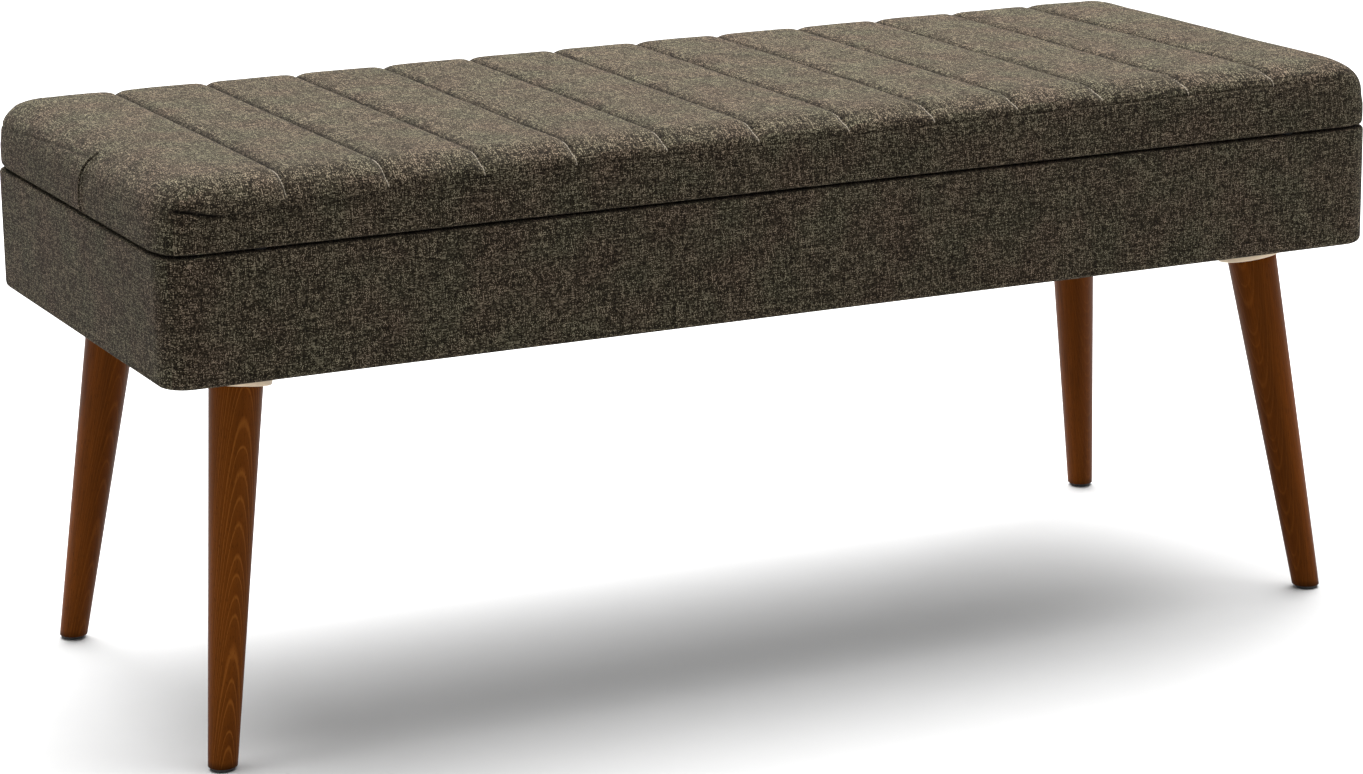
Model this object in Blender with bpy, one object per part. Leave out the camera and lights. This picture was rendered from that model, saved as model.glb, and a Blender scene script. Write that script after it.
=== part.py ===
"""Storage bench: an upholstered box on four splayed, turned legs, with a padded lid hinged at the back.

Metres, +Z up. The origin is on the floor under the middle of the covers. +X is the bench's right side as its
front is faced, and the front faces -Y. The lid turns about an axis along X that runs through the gap between
box and lid, just behind their back faces.
"""

import math

import bmesh
import bpy
from mathutils import Matrix, Vector

# ---- Driving dimensions -------------------------------------------------------------------------------------

BENCH_LENGTH = 1.055  # X, over the covers
BENCH_DEPTH = 0.420  # Y, over the covers
LEG_HEIGHT = 0.301  # floor to the underside of the box
BOX_HEIGHT = 0.0975  # underside of the box to its rim
LID_HEIGHT = 0.0551  # underside of the lid to the crown of its pad
CORNER_RADIUS = 0.023  # upright corners of box and lid

CLEARANCE = 0.0003  # between pieces that touch
PIVOT_CLEARANCE = 0.0005  # around every pivot pin, and beside every moving bar

# Covers: fabric with the wadding behind it
COVER_WALL = 0.004
COVER_FOLD = 0.0017  # where the cover is folded flat over a rim or under a board
COVER_EDGE_RADIUS = 0.003
COVER_UNDER_WIDTH = 0.028  # how far the box cover reaches under the box
LID_COVER_WALL = 0.0025
LID_COVER_UNDER_WIDTH = 0.030
LID_SHOULDER_RADIUS = 0.032
LINING_WALL = 0.0012
LINING_DROP = 0.002  # rim to the lining's top edge
DUST_COVER_THICKNESS = 0.001
DUST_COVER_INSET = 0.018
LID_DUST_COVER_INSET = 0.026

# Boards
PANEL_THICKNESS = 0.015
BOTTOM_THICKNESS = 0.015
LID_BOARD_THICKNESS = 0.012
POST_SIDE = 0.034

# Legs and how they are fastened
LEG_INSET_X = 0.0754  # end face of the cover to the leg's axis, at the leg's top
LEG_INSET_Y = 0.0642  # front or back face of the cover to the same point
LEG_SPLAY = math.radians(10.6)  # from upright
LEG_TURN = math.radians(46.4)  # plan direction of the splay, from the X axis
LEG_TOP_RADIUS = 0.0206
LEG_FOOT_RADIUS = 0.0112
LEG_EDGE = 0.0008
WEDGE_RADIUS = 0.027
WEDGE_DROP = 0.0155  # underside of the box to the middle of the leg's top
WEDGE_EDGE_RADIUS = 0.0025
BOLT_RADIUS = 0.004
BOLT_IN_LEG = 0.032
TEE_NUT_BARREL_RADIUS = 0.0052
TEE_NUT_BARREL = 0.009
TEE_NUT_FLANGE_RADIUS = 0.010
TEE_NUT_FLANGE = 0.0015
TEE_NUT_RECESS = 0.0024  # board top to the middle of the flange's face
GLIDE_RADIUS = 0.0098
GLIDE_THICKNESS = 0.0025
GLIDE_NAIL_RADIUS = 0.0012
GLIDE_NAIL = 0.012

# Butt hinges, whose two leaves fill the gap between box and lid
HINGE_INSET = 0.205  # end face of the cover to the middle of the hinge
LEAF_LENGTH = 0.060
LEAF_WIDTH = 0.0245  # from the hinge axis
LEAF_THICKNESS = 0.0011
LEAF_SPACE = 0.0006  # between the two closed leaves
KNUCKLES = 5
PIN_RADIUS = 0.0013
PIN_HEAD_RADIUS = 0.0021
PIN_HEAD = 0.0010
SCREW_HEAD_RADIUS = 0.0028
SCREW_SHANK_RADIUS = 0.0015
SCREW_LENGTH = 0.013
SCREW_SPACING = 0.036

# Lid stays: one parallelogram linkage at each end, measured from the hinge axis (forwards, upwards)
STAY_BASE_PIVOT = (0.078, -0.035)
STAY_LID_PIVOT = (0.170, -0.012)
STAY_BAR_WIDTH = 0.014
STAY_ARM_THICKNESS = 0.003
STAY_LINK_THICKNESS = 0.0025
STAY_PLATE_THICKNESS = 0.002
STAY_PLATE_SIDE = 0.028
STAY_PIN_RADIUS = 0.0025
STAY_HEAD_RADIUS = 0.0042
STAY_HEAD = 0.0012
STAY_FOOT_LENGTH = 0.044
STAY_FOOT_WIDTH = 0.014

# Bumpers on the front rim
BUMPER_RADIUS = 0.0055
BUMPER_INSET_X = 0.080

ROUND_STEPS = 24  # sides of a leg or wedge
SMALL_STEPS = 12  # sides of a pin, bolt or screw
CORNER_STEPS = 4  # stretches in a quarter of a rounded corner
SHOULDER_STEPS = 5  # stretches in a quarter of the lid's shoulder
BAR_END_STEPS = 8  # stretches in a stay bar's round end
KNUCKLE_STEPS = 14  # stretches round a hinge leaf's curl
KNUCKLE_OPENING = math.radians(25)  # how much of the full turn the curl leaves open

# ---- Places that follow from them ---------------------------------------------------------------------------

HALF_X = BENCH_LENGTH / 2
HALF_Y = BENCH_DEPTH / 2
LID_GAP = LEAF_SPACE + 2 * LEAF_THICKNESS + 2 * CLEARANCE

BOX_UNDERSIDE = LEG_HEIGHT
RIM = LEG_HEIGHT + BOX_HEIGHT
LID_UNDERSIDE = RIM + LID_GAP
LID_TOP = LID_UNDERSIDE + LID_HEIGHT

FRAME_INSET = COVER_WALL + CLEARANCE  # cover face to panel face
INNER_INSET = FRAME_INSET + PANEL_THICKNESS  # cover face to the panel's inner face
BOTTOM_LOW = BOX_UNDERSIDE + COVER_FOLD + CLEARANCE
BOTTOM_TOP = BOTTOM_LOW + BOTTOM_THICKNESS
PANEL_LOW = BOTTOM_TOP + CLEARANCE
PANEL_TOP = RIM - COVER_FOLD - CLEARANCE

KNUCKLE_BORE = PIN_RADIUS + CLEARANCE
KNUCKLE_RADIUS = KNUCKLE_BORE + LEAF_THICKNESS
AXIS_Y = HALF_Y + KNUCKLE_RADIUS + PIVOT_CLEARANCE
AXIS_Z = RIM + LID_GAP / 2
LEAF_FACE = LEAF_SPACE / 2  # hinge axis to the inner face of a leaf
SCREW_FORWARD = AXIS_Y - HALF_Y + FRAME_INSET + PANEL_THICKNESS / 2  # hinge axis to the screws

LID_BOARD_LOW = LID_UNDERSIDE + COVER_FOLD + CLEARANCE
LID_BOARD_TOP = LID_BOARD_LOW + LID_BOARD_THICKNESS

LEG_TOP_Z = BOX_UNDERSIDE - WEDGE_DROP
WEDGE_TOP = BOTTOM_LOW - CLEARANCE

# Planes of each lid stay, as distances from the bench's middle, from the end panel inwards
LINING_FACE_X = HALF_X - INNER_INSET - CLEARANCE - LINING_WALL
STAY_PLATE_X = LINING_FACE_X - CLEARANCE
STAY_ARM_X = STAY_PLATE_X - STAY_PLATE_THICKNESS - PIVOT_CLEARANCE
STAY_LINK_X = STAY_ARM_X - STAY_ARM_THICKNESS - PIVOT_CLEARANCE
STAY_TAB_X = STAY_LINK_X - STAY_LINK_THICKNESS - PIVOT_CLEARANCE

CORNERS = {
    "front_left": (-1, -1),
    "front_right": (1, -1),
    "back_left": (-1, 1),
    "back_right": (1, 1),
}
SIDES = {"left": -1, "right": 1}


# ---- Materials ----------------------------------------------------------------------------------------------


def make_material(name, colour, roughness, metallic=0.0):
    material = bpy.data.materials.new(name)
    material.use_nodes = True
    shader = material.node_tree.nodes["Principled BSDF"]
    shader.inputs["Base Color"].default_value = (*colour, 1.0)
    shader.inputs["Roughness"].default_value = roughness
    shader.inputs["Metallic"].default_value = metallic
    material.diffuse_color = (*colour, 1.0)
    return material


def make_materials():
    return {
        "upholstery": make_material("upholstery", (0.13, 0.11, 0.09), 0.95),
        "lining": make_material("lining", (0.05, 0.048, 0.045), 0.95),
        "dust_cover": make_material("dust_cover", (0.02, 0.02, 0.02), 0.95),
        "foam": make_material("foam", (0.75, 0.70, 0.52), 0.95),
        "walnut": make_material("walnut", (0.13, 0.045, 0.012), 0.4),
        "beech": make_material("beech", (0.62, 0.47, 0.30), 0.6),
        "pine": make_material("pine", (0.60, 0.42, 0.22), 0.6),
        "chipboard": make_material("chipboard", (0.48, 0.36, 0.22), 0.8),
        "steel": make_material("steel", (0.55, 0.55, 0.55), 0.35, 1.0),
        "rubber": make_material("rubber", (0.02, 0.02, 0.02), 0.7),
        "nylon": make_material("nylon", (0.02, 0.02, 0.02), 0.5),
    }


# ---- Shapes -------------------------------------------------------------------------------------------------


def finish_mesh(bm, name, sharp_angle=35):
    """A mesh with its faces out, and shaded smooth where faces meet at less than sharp_angle degrees."""
    bmesh.ops.recalc_face_normals(bm, faces=bm.faces)
    mesh = bpy.data.meshes.new(name)
    bm.to_mesh(mesh)
    bm.free()
    mesh.shade_smooth()
    mesh.set_sharp_from_angle(angle=math.radians(sharp_angle))
    return mesh


def add_box(bm, low, high):
    size = Vector(high) - Vector(low)
    middle = (Vector(high) + Vector(low)) / 2
    matrix = Matrix.Translation(middle) @ Matrix.Diagonal((*size, 1.0))
    bmesh.ops.create_cube(bm, size=1.0, matrix=matrix)


def box_mesh(name, low, high):
    bm = bmesh.new()
    add_box(bm, low, high)
    return finish_mesh(bm, name)


def add_turned(bm, profile, steps, matrix=None):
    """Spins a profile of (radius, height) points about Z. A point at radius 0 closes the end it is on."""
    points = [bm.verts.new((radius, 0.0, height)) for radius, height in profile]
    edges = [bm.edges.new(pair) for pair in zip(points, points[1:])]
    before = set(bm.verts) - set(points)
    bmesh.ops.spin(
        bm,
        geom=points + edges,
        axis=(0, 0, 1),
        cent=(0, 0, 0),
        steps=steps,
        angle=2 * math.pi,
        use_merge=True,
    )
    made = [vertex for vertex in bm.verts if vertex not in before]
    bmesh.ops.remove_doubles(bm, verts=made, dist=1e-6)
    made = [vertex for vertex in bm.verts if vertex not in before]
    if matrix is not None:
        bmesh.ops.transform(bm, matrix=matrix, verts=made)


def turned_mesh(name, profile, steps):
    bm = bmesh.new()
    add_turned(bm, profile, steps)
    return finish_mesh(bm, name)


def add_prism(bm, outline, depth):
    """Extrudes an outline of 3-D points by the vector depth."""
    face = bm.faces.new([bm.verts.new(point) for point in outline])
    made = bmesh.ops.extrude_face_region(bm, geom=[face])["geom"]
    moved = [item for item in made if isinstance(item, bmesh.types.BMVert)]
    bmesh.ops.translate(bm, vec=depth, verts=moved)


def prism_mesh(name, outline, depth):
    bm = bmesh.new()
    add_prism(bm, outline, depth)
    return finish_mesh(bm, name)


def rounded_outline(half_x, half_y, radius):
    """Points of a rounded rectangle, anticlockwise from its right side."""
    points = []
    for quarter, (sign_x, sign_y) in enumerate(((1, 1), (-1, 1), (-1, -1), (1, -1))):
        for step in range(CORNER_STEPS + 1):
            angle = math.pi / 2 * (quarter + step / CORNER_STEPS)
            x = sign_x * (half_x - radius) + radius * math.cos(angle)
            y = sign_y * (half_y - radius) + radius * math.sin(angle)
            points.append((x, y))
    return points


def cover_outline(inset):
    """The plan outline of the covers, moved inwards by inset."""
    radius = max(CORNER_RADIUS - inset, COVER_EDGE_RADIUS)
    return rounded_outline(HALF_X - inset, HALF_Y - inset, radius)


def lofted_mesh(name, sections, is_ring=False):
    """Joins plan outlines at (inset, height) sections, capped at both ends or, for a ring, end to end."""
    bm = bmesh.new()
    loops = []
    for inset, height in sections:
        loops.append([bm.verts.new((x, y, height)) for x, y in cover_outline(inset)])
    pairs = list(zip(loops, loops[1:]))
    if is_ring:
        pairs.append((loops[-1], loops[0]))
    else:
        bm.faces.new(loops[0])
        bm.faces.new(loops[-1])
    for low, high in pairs:
        for i, vertex in enumerate(low):
            after = (i + 1) % len(low)
            bm.faces.new((vertex, low[after], high[after], high[i]))
    return finish_mesh(bm, name, sharp_angle=50)


def shoulder_sections(inset, height, radius, steps=SHOULDER_STEPS):
    """Sections of a quarter circle from an upright wall at inset to a flat top at height, lowest first."""
    sections = []
    for step in range(steps + 1):
        angle = math.pi / 2 * step / steps
        out = inset + radius * (1 - math.cos(angle))
        sections.append((out, height - radius * (1 - math.sin(angle))))
    return sections


# ---- Objects ------------------------------------------------------------------------------------------------


def add_object(name, mesh, material=None, parent=None, location=(0, 0, 0), rotation=(0, 0, 0)):
    """A piece. Under a parent its location is measured from the parent's."""
    piece = bpy.data.objects.new(name, mesh)
    bpy.context.scene.collection.objects.link(piece)
    piece.parent = parent
    piece.location = location
    piece.rotation_euler = rotation
    if material is not None:
        mesh.materials.clear()
        mesh.materials.append(material)
    return piece


def add_empty(name, location, rotation=(0, 0, 0)):
    empty = add_object(name, None, location=location, rotation=rotation)
    empty.empty_display_size = 0.03
    return empty


def add_cutter(name, mesh, parent=None, location=(0, 0, 0), rotation=(0, 0, 0)):
    cutter = add_object(name, mesh, None, parent, location, rotation)
    cutter.hide_render = True
    cutter.display_type = "WIRE"
    return cutter


def add_boolean(piece, other, operation="DIFFERENCE"):
    modifier = piece.modifiers.new(f"{operation.lower()}_{other.name}", "BOOLEAN")
    modifier.operation = operation
    modifier.solver = "EXACT"
    modifier.object = other


# ---- Box ----------------------------------------------------------------------------------------------------


def post_outline(sign_x, sign_y):
    """A square post whose outer upright edge is rounded to fit inside the cover's corner."""
    far_x, far_y = HALF_X - FRAME_INSET, HALF_Y - FRAME_INSET
    near_x, near_y = far_x - POST_SIDE, far_y - POST_SIDE
    radius = CORNER_RADIUS - FRAME_INSET
    points = [(far_x, near_y)]
    for step in range(CORNER_STEPS + 1):
        angle = math.pi / 2 * step / CORNER_STEPS
        x = far_x - radius + radius * math.cos(angle)
        y = far_y - radius + radius * math.sin(angle)
        points.append((x, y))
    points += [(near_x, far_y), (near_x, near_y)]
    return [(sign_x * x, sign_y * y, 0.0) for x, y in points]


def build_frame(materials):
    """Four posts with four panels between them, standing on the bottom board."""
    height = PANEL_TOP - PANEL_LOW
    for corner, (sign_x, sign_y) in CORNERS.items():
        mesh = prism_mesh("post", post_outline(sign_x, sign_y), (0, 0, height))
        add_object(f"corner_post_{corner}", mesh, materials["pine"], location=(0, 0, PANEL_LOW))

    reach_x = HALF_X - FRAME_INSET - POST_SIDE - CLEARANCE
    reach_y = HALF_Y - FRAME_INSET - POST_SIDE - CLEARANCE
    long_size = (reach_x, PANEL_THICKNESS / 2, height)
    short_size = (PANEL_THICKNESS / 2, reach_y, height)
    middle = FRAME_INSET + PANEL_THICKNESS / 2
    places = {
        "front_panel": (long_size, (0, middle - HALF_Y, PANEL_LOW)),
        "back_panel": (long_size, (0, HALF_Y - middle, PANEL_LOW)),
        "left_panel": (short_size, (middle - HALF_X, 0, PANEL_LOW)),
        "right_panel": (short_size, (HALF_X - middle, 0, PANEL_LOW)),
    }
    panels = {}
    for name, ((x, y, z), place) in places.items():
        mesh = box_mesh(name, (-x, -y, 0), (x, y, z))
        panels[name] = add_object(name, mesh, materials["chipboard"], location=place)
    return panels


def build_bottom(materials, cutters):
    mesh = lofted_mesh("bottom_board", [(FRAME_INSET, 0.0), (FRAME_INSET, BOTTOM_THICKNESS)])
    board = add_object("bottom_board", mesh, materials["chipboard"], location=(0, 0, BOTTOM_LOW))
    for cutter in cutters:
        add_boolean(board, cutter)
    return board


def build_base_cover(materials):
    """One skin round the box, folded flat over the rim and under the bottom board."""
    edge = COVER_EDGE_RADIUS
    sections = [
        (edge, BOX_UNDERSIDE),
        (0.0, BOX_UNDERSIDE + edge),
        (0.0, RIM - edge),
        (edge, RIM),
        (INNER_INSET, RIM),
        (INNER_INSET, RIM - COVER_FOLD),
        (COVER_WALL, RIM - COVER_FOLD),
        (COVER_WALL, BOX_UNDERSIDE + COVER_FOLD),
        (COVER_UNDER_WIDTH, BOX_UNDERSIDE + COVER_FOLD),
        (COVER_UNDER_WIDTH, BOX_UNDERSIDE),
    ]
    mesh = lofted_mesh("base_cover", sections, is_ring=True)
    return add_object("base_cover", mesh, materials["upholstery"])


def lining_outline(wall):
    """The inside of the box, stepped round the four posts and moved inwards by wall."""
    inset = INNER_INSET + CLEARANCE + wall
    post = FRAME_INSET + POST_SIDE + CLEARANCE + wall
    far_x, far_y = HALF_X - inset, HALF_Y - inset
    near_x, near_y = HALF_X - post, HALF_Y - post
    points = []
    for sign_x, sign_y in ((1, 1), (-1, 1), (-1, -1), (1, -1)):
        step = [(far_x, near_y), (near_x, near_y), (near_x, far_y)]
        if sign_x * sign_y < 0:
            step.reverse()
        points += [(sign_x * x, sign_y * y) for x, y in step]
    return points


def build_lining(materials):
    """A cloth tray inside the box, open at the top."""
    outer, inner = lining_outline(0.0), lining_outline(LINING_WALL)
    low, floor, top = PANEL_LOW, PANEL_LOW + LINING_WALL, RIM - LINING_DROP
    bm = bmesh.new()
    loops = []
    for outline, height in ((outer, low), (outer, top), (inner, top), (inner, floor)):
        loops.append([bm.verts.new((x, y, height)) for x, y in outline])
    bm.faces.new(loops[0])
    bm.faces.new(loops[-1])
    for first, second in zip(loops, loops[1:]):
        for i, vertex in enumerate(first):
            after = (i + 1) % len(first)
            bm.faces.new((vertex, first[after], second[after], second[i]))
    add_object("base_lining", finish_mesh(bm, "base_lining"), materials["lining"])


def build_dust_cover(materials, cutters):
    """Thin cloth under the box, cut round the leg wedges."""
    sections = [(DUST_COVER_INSET, -DUST_COVER_THICKNESS), (DUST_COVER_INSET, 0.0)]
    mesh = lofted_mesh("base_dust_cover", sections)
    place = (0, 0, BOX_UNDERSIDE - CLEARANCE)
    cover = add_object("base_dust_cover", mesh, materials["dust_cover"], location=place)
    for cutter in cutters:
        add_boolean(cover, cutter)


def build_bumpers(materials):
    thickness = LID_GAP - 2 * CLEARANCE
    chamfer = thickness / 4
    profile = [
        (0.0, 0.0),
        (BUMPER_RADIUS, 0.0),
        (BUMPER_RADIUS, thickness - chamfer),
        (BUMPER_RADIUS - chamfer, thickness),
        (0.0, thickness),
    ]
    for side, sign in SIDES.items():
        mesh = turned_mesh("bumper", profile, SMALL_STEPS)
        place = (
            sign * (HALF_X - BUMPER_INSET_X),
            FRAME_INSET + PANEL_THICKNESS / 2 - HALF_Y,
            RIM + CLEARANCE,
        )
        add_object(f"bumper_{side}", mesh, materials["rubber"], location=place)


# ---- Legs ---------------------------------------------------------------------------------------------------


def leg_direction(sign_x, sign_y):
    """The plan angle in which a leg's foot is splayed."""
    return math.atan2(sign_y * math.sin(LEG_TURN), sign_x * math.cos(LEG_TURN))


def leg_top(sign_x, sign_y):
    return Vector((sign_x * (HALF_X - LEG_INSET_X), sign_y * (HALF_Y - LEG_INSET_Y), LEG_TOP_Z))


def point_on_leg(sign_x, sign_y, height):
    """Where the leg's axis is at a height above the floor."""
    turn = leg_direction(sign_x, sign_y)
    out = (LEG_TOP_Z - height) * math.tan(LEG_SPLAY)
    top = leg_top(sign_x, sign_y)
    return Vector((top.x + out * math.cos(turn), top.y + out * math.sin(turn), height))


def along_leg(height):
    """Distance along the leg's axis, up from the leg's top, of the point at a height above the floor."""
    return (height - LEG_TOP_Z) / math.cos(LEG_SPLAY)


def leg_mesh():
    """A straight taper with the bolt's hole in its top, cut level just above the glide.

    Its own +Z is up along the leg's axis, and its +X is the side that it is splayed towards.
    """
    foot = along_leg(0.0)
    spare = LEG_FOOT_RADIUS  # below the floor, for the level cut
    slope = (LEG_TOP_RADIUS - LEG_FOOT_RADIUS) / -foot
    profile = [
        (0.0, -BOLT_IN_LEG - CLEARANCE),
        (BOLT_RADIUS + CLEARANCE, -BOLT_IN_LEG - CLEARANCE),
        (BOLT_RADIUS + CLEARANCE, 0.0),
        (LEG_TOP_RADIUS - LEG_EDGE, 0.0),
        (LEG_TOP_RADIUS, -LEG_EDGE),
        (LEG_FOOT_RADIUS - slope * spare, foot - spare),
        (0.0, foot - spare),
    ]
    bm = bmesh.new()
    add_turned(bm, profile, ROUND_STEPS)
    up = Vector((math.sin(LEG_SPLAY), 0.0, math.cos(LEG_SPLAY)))
    level = GLIDE_THICKNESS + CLEARANCE - LEG_TOP_Z
    cut = bmesh.ops.bisect_plane(
        bm,
        geom=bm.verts[:] + bm.edges[:] + bm.faces[:],
        plane_co=up * level,
        plane_no=-up,
        clear_outer=True,
    )
    rim = [item for item in cut["geom_cut"] if isinstance(item, bmesh.types.BMEdge)]
    bmesh.ops.edgeloop_fill(bm, edges=rim)
    return finish_mesh(bm, "leg")


def wedge_mesh():
    """A round block, level on top and square to the leg below, on the leg's top. Its +X is the thin side."""
    height = WEDGE_TOP - LEG_TOP_Z
    middle = -height / 2 * math.tan(LEG_SPLAY)  # the leg's axis half way up the block
    bm = bmesh.new()
    bottom = -2 * WEDGE_RADIUS * math.tan(LEG_SPLAY)
    profile = [(0.0, bottom), (WEDGE_RADIUS, bottom), (WEDGE_RADIUS, height), (0.0, height)]
    add_turned(bm, profile, ROUND_STEPS, Matrix.Translation((middle, 0.0, 0.0)))
    axis = Vector((-math.sin(LEG_SPLAY), 0.0, math.cos(LEG_SPLAY)))
    cut = bmesh.ops.bisect_plane(
        bm,
        geom=bm.verts[:] + bm.edges[:] + bm.faces[:],
        plane_co=axis * CLEARANCE,
        plane_no=-axis,
        clear_outer=True,
    )
    rim = [item for item in cut["geom_cut"] if isinstance(item, bmesh.types.BMEdge)]
    bmesh.ops.edgeloop_fill(bm, edges=rim)
    bmesh.ops.bevel(bm, geom=rim, offset=WEDGE_EDGE_RADIUS, segments=3, affect="EDGES", profile=0.5)
    return finish_mesh(bm, "leg_wedge")


def tee_nut_face():
    """Distance up the leg's axis to the face of the tee nut's flange."""
    return along_leg(BOTTOM_TOP - TEE_NUT_RECESS)


def bolt_mesh():
    top = tee_nut_face() + TEE_NUT_RECESS / 4
    chamfer = BOLT_RADIUS / 3
    profile = [
        (0.0, -BOLT_IN_LEG),
        (BOLT_RADIUS - chamfer, -BOLT_IN_LEG),
        (BOLT_RADIUS, chamfer - BOLT_IN_LEG),
        (BOLT_RADIUS, top - chamfer),
        (BOLT_RADIUS - chamfer, top),
        (0.0, top),
    ]
    return turned_mesh("hanger_bolt", profile, SMALL_STEPS)


def tee_nut_mesh():
    """A threaded barrel under a round flange, with its origin in the middle of the flange's face."""
    bore = BOLT_RADIUS + CLEARANCE
    low = -TEE_NUT_FLANGE - TEE_NUT_BARREL
    bm = bmesh.new()
    profile = [
        (bore, low),
        (TEE_NUT_BARREL_RADIUS, low),
        (TEE_NUT_BARREL_RADIUS, -TEE_NUT_FLANGE),
        (TEE_NUT_FLANGE_RADIUS, -TEE_NUT_FLANGE),
        (TEE_NUT_FLANGE_RADIUS, 0.0),
        (bore, 0.0),
        (bore, low),
    ]
    add_turned(bm, profile, SMALL_STEPS)
    return finish_mesh(bm, "tee_nut")


def bolt_passage_mesh():
    """What the bolt and the tee nut take out of the wedge and the bottom board, along the leg's axis."""
    bolt = BOLT_RADIUS + CLEARANCE
    barrel = TEE_NUT_BARREL_RADIUS + CLEARANCE
    flange = TEE_NUT_FLANGE_RADIUS + CLEARANCE
    face = tee_nut_face()
    low = face - TEE_NUT_FLANGE - TEE_NUT_BARREL - CLEARANCE
    seat = face - TEE_NUT_FLANGE - CLEARANCE
    profile = [
        (0.0, -BOLT_RADIUS),
        (bolt, -BOLT_RADIUS),
        (bolt, low),
        (barrel, low),
        (barrel, seat),
        (flange, seat),
        (flange, face + TEE_NUT_FLANGE_RADIUS),
        (0.0, face + TEE_NUT_FLANGE_RADIUS),
    ]
    return turned_mesh("bolt_passage", profile, SMALL_STEPS)


def glide_mesh():
    chamfer = GLIDE_THICKNESS / 3
    profile = [
        (0.0, 0.0),
        (GLIDE_RADIUS - chamfer, 0.0),
        (GLIDE_RADIUS, chamfer),
        (GLIDE_RADIUS, GLIDE_THICKNESS),
        (GLIDE_NAIL_RADIUS, GLIDE_THICKNESS),
        (GLIDE_NAIL_RADIUS, GLIDE_THICKNESS + GLIDE_NAIL),
        (0.0, GLIDE_THICKNESS + GLIDE_NAIL),
    ]
    return turned_mesh("glide", profile, SMALL_STEPS)


def nail_hole_mesh():
    radius = GLIDE_NAIL_RADIUS + CLEARANCE
    top = GLIDE_THICKNESS + GLIDE_NAIL + CLEARANCE
    profile = [(0.0, 0.0), (radius, 0.0), (radius, top), (0.0, top)]
    return turned_mesh("nail_hole", profile, SMALL_STEPS)


def build_leg(corner, signs, materials):
    """One leg with its wedge, bolt, tee nut and glide. Returns the cutters for the board and dust cover."""
    turn = leg_direction(*signs)
    top = leg_top(*signs)
    axis = add_empty(f"leg_axis_{corner}", top, (0.0, -LEG_SPLAY, turn))
    passage = add_cutter(f"bolt_passage_{corner}", bolt_passage_mesh(), axis)
    nail = add_cutter(f"nail_hole_{corner}", nail_hole_mesh(), location=point_on_leg(*signs, 0.0))
    glide_place = point_on_leg(*signs, 0.0)

    leg = add_object(f"leg_{corner}", leg_mesh(), materials["walnut"], axis)
    add_boolean(leg, nail)
    wedge = add_object(
        f"leg_wedge_{corner}", wedge_mesh(), materials["beech"], None, top, (0.0, 0.0, turn)
    )
    add_boolean(wedge, passage)
    add_object(f"hanger_bolt_{corner}", bolt_mesh(), materials["steel"], axis)
    nut_place = (0.0, 0.0, tee_nut_face())
    add_object(f"tee_nut_{corner}", tee_nut_mesh(), materials["steel"], axis, nut_place)
    add_object(f"glide_{corner}", glide_mesh(), materials["nylon"], None, glide_place)

    radius = WEDGE_RADIUS + 2 * CLEARANCE
    round_hole = [(0.0, 0.0), (radius, 0.0), (radius, 2 * WEDGE_DROP), (0.0, 2 * WEDGE_DROP)]
    middle = point_on_leg(*signs, (WEDGE_TOP + LEG_TOP_Z) / 2)
    middle.z = LEG_TOP_Z
    hole = add_cutter(
        f"wedge_hole_{corner}", turned_mesh("wedge_hole", round_hole, ROUND_STEPS), location=middle
    )
    return passage, hole


# ---- Lid ----------------------------------------------------------------------------------------------------


def lower_to_axis(sections):
    """Sections with their heights measured from the hinge axis."""
    return [(inset, height - AXIS_Z) for inset, height in sections]


def build_lid(materials, axis):
    """Board, foam pad, cover and dust cover, each turning about the hinge axis."""
    under_axis = (0.0, -AXIS_Y, 0.0)
    board_inset = LID_COVER_WALL + CLEARANCE
    inner_radius = LID_SHOULDER_RADIUS - LID_COVER_WALL
    pad_top = LID_TOP - LID_COVER_WALL - CLEARANCE
    edge = COVER_EDGE_RADIUS

    board = [(board_inset, LID_BOARD_LOW), (board_inset, LID_BOARD_TOP)]
    pad = [(board_inset, LID_BOARD_TOP + CLEARANCE)]
    pad += shoulder_sections(board_inset, pad_top, inner_radius - CLEARANCE)
    cover = [
        (LID_COVER_UNDER_WIDTH, LID_UNDERSIDE + COVER_FOLD),
        (LID_COVER_UNDER_WIDTH, LID_UNDERSIDE),
        (edge, LID_UNDERSIDE),
        (0.0, LID_UNDERSIDE + edge),
    ]
    cover += shoulder_sections(0.0, LID_TOP, LID_SHOULDER_RADIUS)
    inside = [(LID_COVER_WALL, LID_UNDERSIDE + COVER_FOLD)]
    inside += shoulder_sections(LID_COVER_WALL, LID_TOP - LID_COVER_WALL, inner_radius)
    cover = inside[::-1] + cover
    dust_low = LID_UNDERSIDE - CLEARANCE - DUST_COVER_THICKNESS
    dust = [
        (LID_DUST_COVER_INSET, dust_low),
        (LID_DUST_COVER_INSET, dust_low + DUST_COVER_THICKNESS),
    ]

    made = {}
    pieces = {
        "lid_board": (board, "chipboard"),
        "lid_pad": (pad, "foam"),
        "lid_cover": (cover, "upholstery"),
        "lid_dust_cover": (dust, "dust_cover"),
    }
    for name, (sections, material) in pieces.items():
        mesh = lofted_mesh(name, lower_to_axis(sections))
        made[name] = add_object(name, mesh, materials[material], axis, under_axis)
    return made


# ---- Hinges -------------------------------------------------------------------------------------------------


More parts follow.
